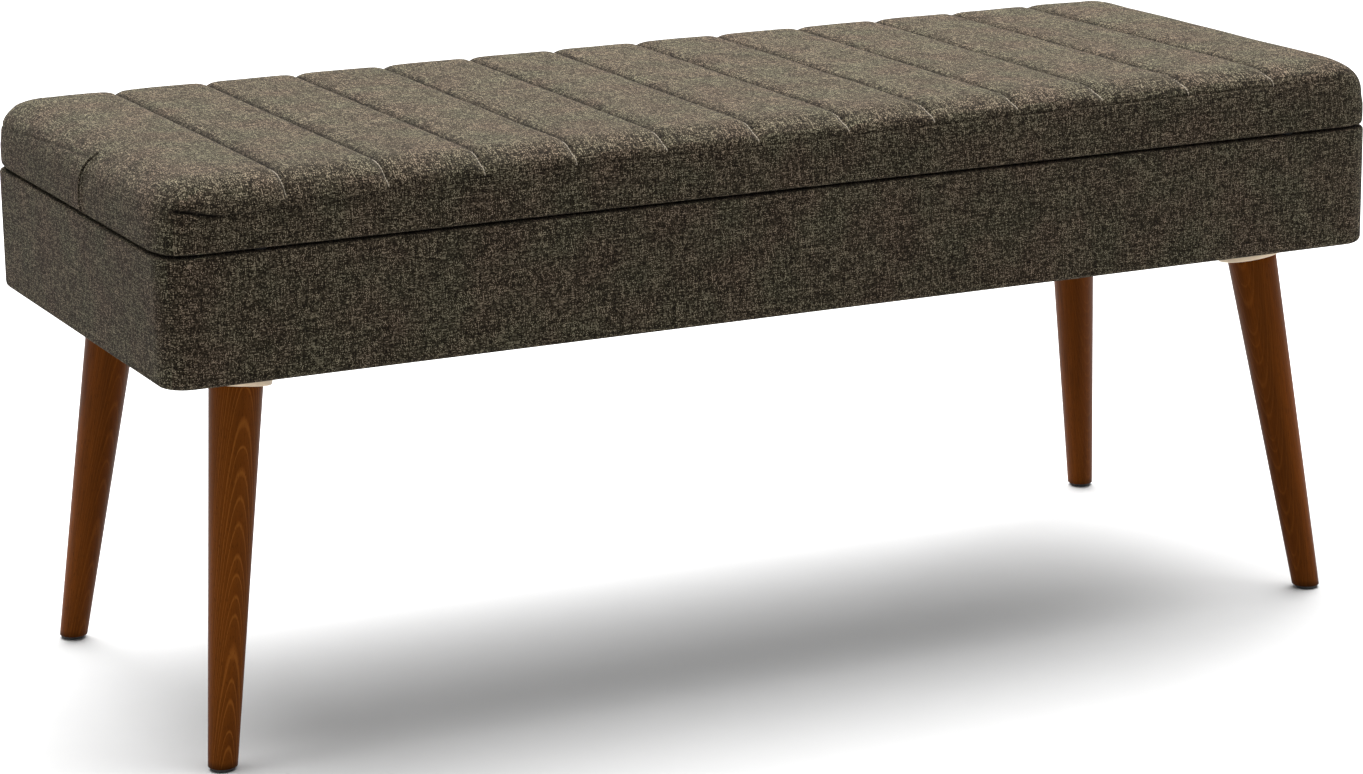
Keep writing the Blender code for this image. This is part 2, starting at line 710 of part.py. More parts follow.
def leaf_outline(up):
    """A leaf's section, from its free end round the curl about the pin. up is 1 for the lid's leaf."""
    inner, outer = LEAF_FACE, LEAF_FACE + LEAF_THICKNESS
    first = math.asin(outer / KNUCKLE_RADIUS)
    last = 2 * math.pi - KNUCKLE_OPENING
    root = math.asin(inner / KNUCKLE_BORE)
    steps = KNUCKLE_STEPS
    points = [(LEAF_WIDTH, outer)]
    for step in range(steps + 1):
        angle = first + (last - first) * step / steps
        points.append((KNUCKLE_RADIUS * math.cos(angle), KNUCKLE_RADIUS * math.sin(angle)))
    for step in range(steps + 1):
        angle = last + (root - last) * step / steps
        points.append((KNUCKLE_BORE * math.cos(angle), KNUCKLE_BORE * math.sin(angle)))
    points.append((LEAF_WIDTH, inner))
    return [(-LEAF_LENGTH / 2, -forward, up * height) for forward, height in points]


def knuckle_gaps_mesh(first):
    """Room, in the leaf whose knuckles are the others, for every second knuckle from first."""
    pitch = LEAF_LENGTH / KNUCKLES
    reach = KNUCKLE_RADIUS + PIVOT_CLEARANCE
    bm = bmesh.new()
    for i in range(first, KNUCKLES, 2):
        low = -LEAF_LENGTH / 2 + i * pitch - CLEARANCE / 2
        high = low + pitch + CLEARANCE
        low -= PIN_HEAD if i == 0 else 0
        high += PIN_HEAD if i == KNUCKLES - 1 else 0
        add_box(bm, (low, -reach, -reach), (high, 2 * reach, reach))
    return finish_mesh(bm, "knuckle_gaps")


def screw_profile(spare=0.0):
    """A countersunk screw, pointing up from its head's face at 0. spare makes it the hole for that screw."""
    head, shank = SCREW_HEAD_RADIUS + spare, SCREW_SHANK_RADIUS + spare
    return [
        (0.0, -spare / 2),
        (head, -spare / 2),
        (head, 0.0),
        (shank, head - shank),
        (shank, SCREW_LENGTH - shank),
        (0.0, SCREW_LENGTH + spare),
    ]


def screw_places(sign_x):
    """Offset along X and whether it points up, for the screws of one hinge."""
    middle = sign_x * (HALF_X - HINGE_INSET)
    return [
        (middle + end * SCREW_SPACING / 2, up) for up in (-1, 1) for end in (-1, 1)
    ]


def screw_matrix(x, up):
    """From the hinge axis, with the head's face in the leaf's inner face."""
    flip = Matrix.Rotation(math.pi if up < 0 else 0.0, 4, "X")
    return Matrix.Translation((x, -SCREW_FORWARD, up * LEAF_FACE)) @ flip


def add_screw_holes(axis):
    """One cutter for every screw hole of both hinges."""
    bm = bmesh.new()
    for sign in SIDES.values():
        for x, up in screw_places(sign):
            add_turned(bm, screw_profile(CLEARANCE), SMALL_STEPS, screw_matrix(x, up))
    return add_cutter("screw_holes", finish_mesh(bm, "screw_holes"), axis)


def build_hinge(side, sign, materials, axis, screw_holes):
    """A base leaf and a lid leaf whose knuckles take turns along one pin."""
    x = sign * (HALF_X - HINGE_INSET)
    for name, up, first in (("hinge_base_leaf", -1, 1), ("hinge_lid_leaf", 1, 0)):
        mesh = prism_mesh(name, leaf_outline(up), (LEAF_LENGTH, 0, 0))
        leaf = add_object(f"{name}_{side}", mesh, materials["steel"], axis, (x, 0, 0))
        gaps = add_cutter(f"{name}_gaps_{side}", knuckle_gaps_mesh(first), axis, (x, 0, 0))
        add_boolean(leaf, gaps)
        add_boolean(leaf, screw_holes)

    end = LEAF_LENGTH / 2 + CLEARANCE
    profile = [
        (0.0, -end - PIN_HEAD),
        (PIN_HEAD_RADIUS, -end - PIN_HEAD),
        (PIN_HEAD_RADIUS, -end),
        (PIN_RADIUS, -end),
        (PIN_RADIUS, end),
        (PIN_HEAD_RADIUS, end),
        (PIN_HEAD_RADIUS, end + PIN_HEAD),
        (0.0, end + PIN_HEAD),
    ]
    pin = turned_mesh("hinge_pin", profile, SMALL_STEPS)
    turn = (0, math.pi / 2, 0)
    add_object(f"hinge_pin_{side}", pin, materials["steel"], axis, (x, 0, 0), turn)

    for number, (screw_x, up) in enumerate(screw_places(sign), start=1):
        mesh = turned_mesh("hinge_screw", screw_profile(), SMALL_STEPS)
        place = screw_matrix(screw_x, up)
        add_object(
            f"hinge_screw_{side}_{number}",
            mesh,
            materials["steel"],
            axis,
            place.to_translation(),
            place.to_euler(),
        )


# ---- Lid stays ----------------------------------------------------------------------------------------------


def bar_mesh(name, end, thickness, sign):
    """A flat bar with round ends, from the origin to end, which is (forwards, upwards) from it.

    It is thickness deep along X, from its outer face inwards.
    """
    forward, up = end
    direction = math.atan2(up, forward)
    radius = STAY_BAR_WIDTH / 2
    steps = BAR_END_STEPS
    outline = []
    for (centre_forward, centre_up), start in (((0.0, 0.0), 90), (end, -90)):
        for step in range(steps + 1):
            angle = direction + math.radians(start + 180 * step / steps)
            along = centre_forward + radius * math.cos(angle)
            outline.append((0.0, -along, centre_up + radius * math.sin(angle)))
    bm = bmesh.new()
    add_prism(bm, outline, (-sign * thickness, 0, 0))
    return finish_mesh(bm, name)


def cross_pin_mesh(name, length, sign):
    """A pivot pin along X, inwards for sign, from a little below its plate to the far face of its head."""
    root = STAY_PLATE_THICKNESS / 2
    stop = length + PIVOT_CLEARANCE
    profile = [
        (0.0, -root),
        (STAY_PIN_RADIUS, -root),
        (STAY_PIN_RADIUS, stop),
        (STAY_HEAD_RADIUS, stop),
        (STAY_HEAD_RADIUS, stop + STAY_HEAD),
        (0.0, stop + STAY_HEAD),
    ]
    bm = bmesh.new()
    add_turned(bm, profile, SMALL_STEPS, Matrix.Rotation(-sign * math.pi / 2, 4, "Y"))
    return finish_mesh(bm, name)


def pin_hole_mesh(sign):
    """Clearance through any one bar of a stay, along X."""
    reach = STAY_ARM_THICKNESS * 2
    radius = STAY_PIN_RADIUS + PIVOT_CLEARANCE
    profile = [(0.0, -reach), (radius, -reach), (radius, reach), (0.0, reach)]
    bm = bmesh.new()
    add_turned(bm, profile, SMALL_STEPS, Matrix.Rotation(sign * math.pi / 2, 4, "Y"))
    return finish_mesh(bm, "pin_hole")


def lid_bracket_mesh(sign):
    """An angle: a foot under the lid, and a tab that carries the lid pivot. Its origin is on the pivot."""
    foot_top = LID_UNDERSIDE - 2 * CLEARANCE - DUST_COVER_THICKNESS - AXIS_Z - STAY_LID_PIVOT[1]
    foot_low = foot_top - STAY_PLATE_THICKNESS
    half = STAY_FOOT_LENGTH / 2
    radius = STAY_BAR_WIDTH / 2
    steps = BAR_END_STEPS
    outline = [(0.0, half, foot_top), (0.0, half, foot_low)]
    for step in range(steps + 1):
        angle = math.pi * step / steps
        outline.append((0.0, radius * math.cos(angle), -radius * math.sin(angle)))
    outline += [(0.0, -half, foot_low), (0.0, -half, foot_top)]
    bm = bmesh.new()
    add_prism(bm, outline, (-sign * STAY_PLATE_THICKNESS, 0, 0))
    tab = finish_mesh(bm, "stay_bracket")
    ends = sorted((-sign * STAY_PLATE_THICKNESS / 2, -sign * STAY_FOOT_WIDTH))
    low = (ends[0], -half, foot_low)
    high = (ends[1], half, foot_top)
    return tab, box_mesh("stay_bracket_foot", low, high)


def build_stay(side, sign, materials, lid_axis):
    """Pivot plate on the box, arm, link and lid bracket, pinned so that the arm stays parallel to the lid."""
    base_forward, base_up = STAY_BASE_PIVOT
    lid_forward, lid_up = STAY_LID_PIVOT
    steel = materials["steel"]
    base_pivot = (sign * STAY_PLATE_X, AXIS_Y - base_forward, AXIS_Z + base_up)
    arm_place = (sign * STAY_ARM_X, base_pivot[1], base_pivot[2])
    lid_pivot_y, lid_pivot_z = AXIS_Y - lid_forward, AXIS_Z + lid_up

    half = STAY_PLATE_SIDE / 2
    ends = sorted((0.0, -sign * STAY_PLATE_THICKNESS))
    plate_mesh = box_mesh("stay_plate", (ends[0], -half, -half), (ends[1], half, half))
    plate = add_object(f"stay_plate_{side}", plate_mesh, steel, None, base_pivot)
    pin_place = (base_pivot[0] - sign * STAY_PLATE_THICKNESS, base_pivot[1], base_pivot[2])
    pin = cross_pin_mesh("stay_pin", STAY_ARM_THICKNESS + PIVOT_CLEARANCE, sign)
    add_boolean(plate, add_cutter(f"stay_plate_pin_{side}", pin, None, pin_place), "UNION")

    arm_axis = add_empty(f"stay_arm_axis_{side}", arm_place)
    mesh = bar_mesh("stay_arm", STAY_LID_PIVOT, STAY_ARM_THICKNESS, sign)
    arm = add_object(f"stay_arm_{side}", mesh, steel, arm_axis)
    add_boolean(arm, add_cutter(f"stay_arm_hole_{side}", pin_hole_mesh(sign), arm_axis))
    pin = cross_pin_mesh("stay_pin", STAY_LINK_THICKNESS + PIVOT_CLEARANCE, sign)
    pin_place = (-sign * STAY_ARM_THICKNESS, -lid_forward, lid_up)
    add_boolean(arm, add_cutter(f"stay_arm_pin_{side}", pin, arm_axis, pin_place), "UNION")

    link_axis = add_empty(f"stay_link_axis_{side}", (sign * STAY_LINK_X, lid_pivot_y, lid_pivot_z))
    mesh = bar_mesh("stay_link", STAY_BASE_PIVOT, STAY_LINK_THICKNESS, sign)
    link = add_object(f"stay_link_{side}", mesh, steel, link_axis)
    for number, (forward, up) in enumerate(((0.0, 0.0), STAY_BASE_PIVOT), start=1):
        name = f"stay_link_hole_{side}_{number}"
        add_boolean(link, add_cutter(name, pin_hole_mesh(sign), link_axis, (0, -forward, up)))

    tab_mesh, foot_mesh = lid_bracket_mesh(sign)
    place = (sign * STAY_TAB_X, -lid_forward, lid_up)
    bracket = add_object(f"stay_bracket_{side}", tab_mesh, steel, lid_axis, place)
    foot = add_cutter(f"stay_bracket_foot_{side}", foot_mesh, lid_axis, place)
    add_boolean(bracket, foot, "UNION")
    pin = cross_pin_mesh("stay_pin", STAY_LINK_THICKNESS + PIVOT_CLEARANCE, -sign)
    cutter = add_cutter(f"stay_bracket_pin_{side}", pin, lid_axis, place)
    add_boolean(bracket, cutter, "UNION")


# ---- The bench ----------------------------------------------------------------------------------------------


def clear_scene():
    for item in list(bpy.data.objects):
        bpy.data.objects.remove(item, do_unlink=True)


def main():
    clear_scene()
    materials = make_materials()
    passages, wedge_holes = [], []
    for corner, signs in CORNERS.items():
        passage, hole = build_leg(corner, signs, materials)
        passages.append(passage)
        wedge_holes.append(hole)

    panels = build_frame(materials)
    build_bottom(materials, passages)
    base_cover = build_base_cover(materials)
    build_lining(materials)
    build_dust_cover(materials, wedge_holes)
    build_bumpers(materials)

    lid_axis = add_empty("lid_axis", (0.0, AXIS_Y, AXIS_Z))
    lid = build_lid(materials, lid_axis)
    screw_holes = add_screw_holes(lid_axis)
    for piece in (panels["back_panel"], base_cover, lid["lid_board"], lid["lid_cover"]):
        add_boolean(piece, screw_holes)
    for side, sign in SIDES.items():
        build_hinge(side, sign, materials, lid_axis, screw_holes)
        build_stay(side, sign, materials, lid_axis)


main()
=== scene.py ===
"""Looks of an upholstered storage bench: channelled lid, fabric box and four turned legs."""

import math

import bmesh
import bpy
import numpy as np
from mathutils import Matrix, Vector, noise


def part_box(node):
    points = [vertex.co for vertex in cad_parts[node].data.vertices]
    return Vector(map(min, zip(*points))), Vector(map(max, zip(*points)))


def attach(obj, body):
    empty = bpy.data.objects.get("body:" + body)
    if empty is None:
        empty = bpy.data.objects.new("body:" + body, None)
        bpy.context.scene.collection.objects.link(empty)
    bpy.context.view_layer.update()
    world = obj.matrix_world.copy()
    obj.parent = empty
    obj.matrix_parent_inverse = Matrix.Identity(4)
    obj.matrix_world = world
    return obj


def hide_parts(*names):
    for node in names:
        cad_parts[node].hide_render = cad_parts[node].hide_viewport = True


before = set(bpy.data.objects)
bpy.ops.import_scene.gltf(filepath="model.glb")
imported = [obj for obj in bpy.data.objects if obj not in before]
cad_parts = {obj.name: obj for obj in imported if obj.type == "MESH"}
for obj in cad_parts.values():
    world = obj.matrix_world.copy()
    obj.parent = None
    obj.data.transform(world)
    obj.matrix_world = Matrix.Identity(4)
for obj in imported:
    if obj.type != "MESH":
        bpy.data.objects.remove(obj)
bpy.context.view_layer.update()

# ---------------------------------------------------------------- camera and studio

CAMERA_PLACE = (-1.4167, -2.9154, 1.0200)
CAMERA_YAW = math.radians(25.7227)
CAMERA_PITCH = math.radians(14.2742)
CAMERA_ROLL = math.radians(-0.8212)
CAMERA_LENS = 106.18
SENSOR_WIDTH = 36.0

FLOOR_RADIUS = 14.0
FLOOR_SIDES = 96
FLOOR_DARK, FLOOR_LIGHT = (0.54, 0.54, 0.54), (0.56, 0.56, 0.56)
WORLD_STRENGTH = 0.5
KEY_PLACE = (0.5, 1.25, 3.2)
KEY_AIM = (0.1, 0.3, 0.3)
KEY_SIZE = (4.8, 4.6)
KEY_POWER = 620.0


def make_camera():
    """A camera that looks down at the bench from its front left."""
    yaw, pitch, roll = CAMERA_YAW, CAMERA_PITCH, CAMERA_ROLL
    ahead = Vector((math.sin(yaw) * math.cos(pitch), math.cos(yaw) * math.cos(pitch), -math.sin(pitch)))
    level = Vector((math.cos(yaw), -math.sin(yaw), 0.0))
    above = level.cross(ahead)
    right = level * math.cos(roll) + above * math.sin(roll)
    top = above * math.cos(roll) - level * math.sin(roll)
    data = bpy.data.cameras.new("camera")
    data.lens = CAMERA_LENS
    data.sensor_width = SENSOR_WIDTH
    camera = bpy.data.objects.new("camera", data)
    bpy.context.scene.collection.objects.link(camera)
    turn = Matrix((right, top, -ahead)).transposed()
    camera.matrix_world = Matrix.Translation(CAMERA_PLACE) @ turn.to_4x4()
    bpy.context.scene.camera = camera


def make_key():
    """The soft area light above the bench."""
    data = bpy.data.lights.new("key", "AREA")
    data.shape = "RECTANGLE"
    data.size, data.size_y = KEY_SIZE
    data.energy = KEY_POWER
    light = bpy.data.objects.new("key", data)
    bpy.context.scene.collection.objects.link(light)
    light.location = KEY_PLACE
    light.rotation_mode = "QUATERNION"
    light.rotation_quaternion = (Vector(KEY_AIM) - Vector(KEY_PLACE)).to_track_quat("-Z", "Y")


def make_world():
    """An even pale surrounding light."""
    world = bpy.data.worlds.new("studio")
    world.use_nodes = True
    shade = world.node_tree.nodes["Background"]
    shade.inputs["Color"].default_value = (1.0, 1.0, 1.0, 1.0)
    shade.inputs["Strength"].default_value = WORLD_STRENGTH
    bpy.context.scene.world = world


def make_floor():
    """A plain pale disc under the bench."""
    points = []
    for k in range(FLOOR_SIDES):
        angle = math.tau * k / FLOOR_SIDES
        points.append((FLOOR_RADIUS * math.cos(angle), FLOOR_RADIUS * math.sin(angle), 0.0))
    floor = add_mesh("floor", points, [range(FLOOR_SIDES)], smooth=False)
    dress(floor, make_plain("floor", FLOOR_DARK, FLOOR_LIGHT, 0.95, 2.0, bump=0.02))


# ---------------------------------------------------------------- node helpers


class Graph:
    """A material's node tree, with short calls that add nodes and link them."""

    def __init__(self, name):
        self.material = bpy.data.materials.new(name)
        self.material.use_nodes = True
        self.tree = self.material.node_tree
        self.shader = self.tree.nodes["Principled BSDF"]

    def put(self, socket, value):
        """Sets a socket to a constant, or links another node's output to it."""
        if isinstance(value, bpy.types.NodeSocket):
            self.tree.links.new(value, socket)
        elif isinstance(value, tuple) and len(value) == 3 and socket.type == "RGBA":
            socket.default_value = (*value, 1.0)
        else:
            socket.default_value = value

    def add(self, kind, values=(), **props):
        """A node of this kind with its properties and its inputs, given by name or number."""
        node = self.tree.nodes.new("ShaderNode" + kind)
        for key, value in props.items():
            setattr(node, key, value)
        for key, value in dict(values).items():
            self.put(node.inputs[key], value)
        return node

    def attribute(self, name, output):
        """One output of a mesh attribute."""
        return self.add("Attribute", attribute_name=name).outputs[output]

    def split(self, vector):
        """A vector's three numbers."""
        return self.add("SeparateXYZ", {0: vector}).outputs

    def math(self, operation, first, second=0.0, third=0.0):
        """The result of one arithmetic step."""
        return self.add("Math", {0: first, 1: second, 2: third}, operation=operation).outputs[0]

    def shift(self, value, signal, amount):
        """value, moved by this amount times signal's distance from a half."""
        return self.math("MULTIPLY_ADD", self.math("SUBTRACT", signal, 0.5), amount, value)

    def combine(self, x, y, z=0.0):
        """A vector from three numbers."""
        return self.add("CombineXYZ", {0: x, 1: y, 2: z}).outputs[0]

    def noise(self, vector, scale, detail=2.0, rough=0.5, dimensions="3D"):
        """Smooth noise from about 0 to 1 at this scale."""
        values = {"Vector": vector, "Scale": scale, "Detail": detail, "Roughness": rough}
        return self.add("TexNoise", values, noise_dimensions=dimensions).outputs[0]

    def ramp(self, factor, stops):
        """A colour or grey from a row of (place, colour) stops."""
        node = self.add("ValToRGB", {0: factor})
        bar = node.color_ramp
        while len(bar.elements) < len(stops):
            bar.elements.new(0.5)
        for element, (place, colour) in zip(bar.elements, stops):
            element.position = place
            element.color = (*colour, 1.0) if isinstance(colour, tuple) else (colour, colour, colour, 1.0)
        return node.outputs[0]

    def remap(self, value, low, high, to_low=0.0, to_high=1.0):
        """value taken linearly from one range to another, and held to it."""
        values = {0: value, 1: low, 2: high, 3: to_low, 4: to_high}
        return self.add("MapRange", values, clamp=True).outputs[0]

    def mix(self, factor, first, second, blend="MIX"):
        """A mix of two colours."""
        node = self.add("Mix", data_type="RGBA", blend_type=blend)
        self.put(node.inputs[0], factor)
        self.put(node.inputs[6], first)
        self.put(node.inputs[7], second)
        return node.outputs[2]

    def mix_value(self, factor, first, second):
        """A mix of two numbers."""
        return self.add("Mix", {0: factor, 2: first, 3: second}, data_type="FLOAT").outputs[0]

    def bump(self, height, strength, distance):
        """A normal from a height."""
        return self.add("Bump", {"Height": height, "Strength": strength, "Distance": distance}).outputs[0]

    def finish(self, **values):
        """Sets or links the shader's inputs, with _ for a space in their names."""
        for key, value in values.items():
            self.put(self.shader.inputs[key.replace("_", " ")], value)
        return self.material


def part_of(colour, share):
    """A colour made darker, to this share of itself."""
    return tuple(share * x for x in colour)


# ---------------------------------------------------------------- fabric

YARN = 0.00082  # from one yarn to the next
WANDER = 0.0012  # how far the yarns stray sideways
WANDER_SCALE = 110.0
LANE_APART = 3.37  # keeps neighbouring yarns' noise unrelated
WARP_SEED, WEFT_SEED = 11.3, 57.9
YARN_NOISES = ((0.17, 0.38), (0.60, 0.37), (0.035, 0.25))  # (scale along the yarn, share of the tone)
ROUNDNESS = 0.6
DIVE = 0.4  # share of its height a yarn loses where it goes under the next
KNOT = 0.19  # how much single crossings differ in tone
DRIFT, DRIFT_SCALE = 0.02, 30.0  # how much whole areas differ in tone
TINT_SCALE = 21.0
SPECK_SCALE = 420.0
FUZZ, FUZZ_SCALE = 0.4, 2600.0
DARK_YARN = (0.0060, 0.0045, 0.0026)
DEEP_YARN = (0.0170, 0.0133, 0.0082)
MIDDLE_YARN = (0.0440, 0.0352, 0.0238)
PALE_YARN = (0.2200, 0.1820, 0.1330)
YARN_STOPS = ((0.35, DARK_YARN), (0.46, DEEP_YARN), (0.55, MIDDLE_YARN), (0.70, PALE_YARN))
# painted shade in the gaps between yarns and a painted highlight on their crowns, from each yarn's height
YARN_SHADE_STOPS = ((0.0, 0.30), (0.55, 0.95), (1.0, 1.25))
TINT_STOPS = ((0.35, (1.0, 0.93, 0.90)), (0.65, (0.93, 1.0, 0.92)))


def yarn_tone(g, lane, run, seed):
    """How light a yarn is at this place of its run."""
    lane_place = g.math("MULTIPLY_ADD", lane, LANE_APART, seed)
    tone = 0.0
    for scale, share in YARN_NOISES:
        place = g.combine(lane_place, g.math("MULTIPLY", run, scale))
        tone = g.math("MULTIPLY_ADD", g.noise(place, 1.0, 0.0, dimensions="2D"), share, tone)
    return tone


def yarn_round(g, lane, run):
    """The rounded height of a yarn across itself, falling where it dives under the next."""
    side = g.math("SINE", g.math("MULTIPLY", g.math("FRACT", lane), math.pi))
    dive = g.math("SINE", g.math("MULTIPLY", g.math("FRACT", run), math.pi))
    return g.math("MULTIPLY", g.math("POWER", side, ROUNDNESS), g.math("MULTIPLY_ADD", dive, DIVE, 1.0 - DIVE))


def make_fabric(name):
    """A melange plain weave: every yarn changes colour along its length."""
    g = Graph(name)
    cloth = g.attribute("cloth", "Vector")
    apart = g.split(cloth)
    wander = g.noise(cloth, WANDER_SCALE, 1.0)
    across = g.math("DIVIDE", g.math("MULTIPLY_ADD", wander, WANDER, apart[0]), YARN)
    along = g.math("DIVIDE", g.math("MULTIPLY_ADD", wander, -WANDER, apart[1]), YARN)
    warp, weft = g.math("FLOOR", across), g.math("FLOOR", along)
    weft_over = g.math("PINGPONG", g.math("ADD", warp, weft), 1.0)
    tone = g.mix_value(weft_over, yarn_tone(g, warp, along, WARP_SEED), yarn_tone(g, weft, across, WEFT_SEED))
    height = g.mix_value(weft_over, yarn_round(g, across, along), yarn_round(g, along, across))
    knot = g.add("TexWhiteNoise", {"Vector": g.combine(warp, weft)}, noise_dimensions="2D")
    tone = g.shift(tone, knot.outputs["Value"], KNOT)
    tone = g.shift(tone, g.noise(cloth, DRIFT_SCALE, 1.0), DRIFT)
    # the yarn's height paints shade into the gaps between yarns and light onto their crowns
    colour = g.mix(1.0, g.ramp(tone, YARN_STOPS), g.ramp(height, YARN_SHADE_STOPS), "MULTIPLY")
    colour = g.mix(1.0, colour, g.ramp(g.noise(cloth, TINT_SCALE, 2.0), TINT_STOPS), "MULTIPLY")
    # Painted shade: the grooves, seams and the front left fold are darkened, in speckles, towards a dark yarn
    # colour.
    speck = g.remap(g.noise(cloth, SPECK_SCALE, 2.0), 0.38, 0.62, 0.50, 0.95)
    painted_shade_share = g.math("MULTIPLY", g.attribute("painted_shade", "Fac"), speck)
    colour = g.mix(painted_shade_share, colour, part_of(DARK_YARN, 0.5))
    relief = g.math("MULTIPLY_ADD", g.noise(cloth, FUZZ_SCALE, 2.0), FUZZ, height)
    return g.finish(
        Base_Color=colour,
        Roughness=0.95,
        Normal=g.bump(relief, 0.7, 0.0004),
        Specular_IOR_Level=0.05,
        Sheen_Weight=0.035,
        Sheen_Roughness=0.5,
        Sheen_Tint=(1.0, 0.88, 0.82),
    )


# ---------------------------------------------------------------- wood and plain materials

RING_PITCH = 0.0013
RING_TILT = -0.10
RING_WAVE, RING_WAVE_SCALE = 0.0016, 45.0
RING_UNEVEN, RING_UNEVEN_SCALE = 0.0030, 330.0
RING_STOPS = ((0.0, 0.25), (0.70, 0.12), (0.86, 1.0), (0.91, 0.85), (1.0, 0.25))
STREAK_SCALE, BROAD_SCALE, PORE_SCALE = 620.0, 90.0, 1700.0
WAVE_STRETCH, STREAK_STRETCH, PORE_STRETCH = 0.22, 0.03, 0.16
WALNUT = ((0.056, 0.0135, 0.0012), (0.160, 0.041, 0.0036), (0.225, 0.072, 0.011))  # dark, light, ring line


def make_wood(name, dark, light, line):
    """Stained wood: the growth rings cut the surface in long arches between fine streaks.

    The grain attribute holds (towards the arched face, across it, along the grain).
    """
    g = Graph(name)
    apart = g.split(g.attribute("grain", "Vector"))

    def stretched(share):
        """The place with its run along the grain cut to a share, so noise is drawn out along it."""
        return g.combine(apart[0], apart[1], g.math("MULTIPLY", apart[2], share))

    depth = g.math("MULTIPLY_ADD", apart[2], RING_TILT, apart[0])
    ring = g.math("MULTIPLY_ADD", g.noise(stretched(WAVE_STRETCH), RING_WAVE_SCALE, 2.0), RING_WAVE, depth)
    uneven = g.noise(g.combine(ring, 0.0), RING_UNEVEN_SCALE, 1.0)
    ring = g.math("MULTIPLY_ADD", uneven, RING_UNEVEN, ring)
    rings = g.ramp(g.math("FRACT", g.math("DIVIDE", ring, RING_PITCH)), RING_STOPS)
    lane = stretched(STREAK_STRETCH)
    streak = g.noise(lane, STREAK_SCALE, 3.0, 0.6)
    broad = g.noise(lane, BROAD_SCALE, 2.0)
    tone = g.math("MULTIPLY_ADD", streak, 0.5, g.math("MULTIPLY", broad, 0.5))
    colour = g.ramp(tone, ((0.36, dark), (0.64, light)))
    colour = g.mix(g.remap(apart[0], -0.002, 0.010, 0.0, 0.55), colour, dark)
    facing = g.remap(apart[0], -0.004, 0.009, 0.10, 0.85)
    shown = g.math("MULTIPLY", facing, g.attribute("figure", "Fac"))
    colour = g.mix(g.math("MULTIPLY", rings, shown), colour, line)
    pores = g.remap(g.noise(stretched(PORE_STRETCH), PORE_SCALE, 1.0), 0.60, 0.70)
    colour = g.mix(g.math("MULTIPLY", pores, 0.45), colour, part_of(dark, 0.4))
    # the bottom few millimetres of each leg are darker
    foot_darkening = g.math("MULTIPLY", g.attribute("edge", "Fac"), 0.75)
    colour = g.mix(foot_darkening, colour, part_of(dark, 0.25))
    return g.finish(
        Base_Color=colour,
        Roughness=g.remap(streak, 0.3, 0.7, 0.42, 0.54),
        Normal=g.bump(g.math("SUBTRACT", g.math("MULTIPLY", rings, 0.4), pores), 0.3, 0.0001),
        Specular_IOR_Level=0.07,
        Specular_Tint=(1.0, 0.62, 0.32, 1.0),
    )


PLAIN_DEPTH = 0.0002
PLAIN_LOOKS = {  # dark, light, roughness, scale, metal
    "beech": ((0.62, 0.48, 0.33), (0.74, 0.60, 0.43), 0.55, 90.0),
    "steel": ((0.11, 0.11, 0.11), (0.17, 0.17, 0.17), 0.45, 200.0, 1.0),
    "rubber": ((0.015, 0.015, 0.015), (0.03, 0.03, 0.03), 0.6),
    "pine": ((0.55, 0.38, 0.22), (0.66, 0.48, 0.29), 0.6),
    "dust_cloth": ((0.012, 0.012, 0.012), (0.022, 0.022, 0.022), 0.9, 900.0),
    "lining": ((0.075, 0.070, 0.062), (0.105, 0.098, 0.088), 0.85, 700.0),
}
THREAD_LOOK = ((0.20, 0.17, 0.125), (0.36, 0.31, 0.24), 0.8, 400.0)


def make_plain(name, dark, light, rough, scale=60.0, metal=0.0, bump=0.15):
    """A plain finish with a slight change of tone and a fine surface."""
    g = Graph(name)
    place = g.add("TexCoord").outputs["Object"]
    tone = g.noise(place, scale, 4.0, 0.6)
    fine = g.noise(place, scale * 14.0, 2.0)
    both = g.math("MULTIPLY_ADD", fine, 0.3, g.math("MULTIPLY", tone, 0.7))
    return g.finish(
        Base_Color=g.ramp(both, ((0.3, dark), (0.7, light))),
        Metallic=metal,
        Roughness=g.remap(tone, 0.3, 0.7, rough * 0.85, min(1.0, rough * 1.1)),
        Normal=g.bump(fine, bump, PLAIN_DEPTH),
    )


# ---------------------------------------------------------------- mesh helpers


def add_mesh(name, points, faces, smooth=True):
    """A mesh object from points and faces."""
    data = bpy.data.meshes.new(name)
    data.from_pydata([tuple(p) for p in points], [], [tuple(f) for f in faces])
    data.update()
    made = bpy.data.objects.new(name, data)
    bpy.context.scene.collection.objects.link(made)
    if smooth:
        data.polygons.foreach_set("use_smooth", np.ones(len(data.polygons), bool))
    return made


def dress(made, material):
    """Gives a mesh object one material."""
    made.data.materials.clear()
    made.data.materials.append(material)


def rows_of(items, field):
    """A vector field of a mesh's points or faces, as an array's rows."""
    flat = np.zeros(len(items) * 3)
    items.foreach_get(field, flat)
    return flat.reshape(-1, 3)


def set_points(data, points):
    """Moves a mesh's points to an array's rows."""
    data.vertices.foreach_set("co", np.asarray(points, float).ravel())
    data.update()


def add_value(data, name, values):
    """Stores one number for each point."""
    attribute = data.attributes.new(name, "FLOAT", "POINT")
    attribute.data.foreach_set("value", np.asarray(values, np.float32))


def add_vector(data, name, domain, rows):
    """Stores one vector for each point or each face corner."""
    attribute = data.attributes.new(name, "FLOAT_VECTOR", domain)
    attribute.data.foreach_set("vector", rows.ravel().astype(np.float32))


def apply_modifiers(made):
    """Turns an object's modifiers into its mesh."""
    bpy.context.view_layer.update()
    shown = made.evaluated_get(bpy.context.evaluated_depsgraph_get())
    data = bpy.data.meshes.new_from_object(shown)
    old = made.data
    made.modifiers.clear()
    made.data = data
    bpy.data.meshes.remove(old)


def smooth_step(value, low, high):
    """0 below low, 1 above high, and smooth between."""
    t = np.clip((value - low) / (high - low), 0.0, 1.0)
    return t * t * (3.0 - 2.0 * t)


def bell(distance, width, power=2):
    """1 at distance 0, falling towards 0 past width; a high power makes the middle flat."""
    return np.exp(-((distance / width) ** power))


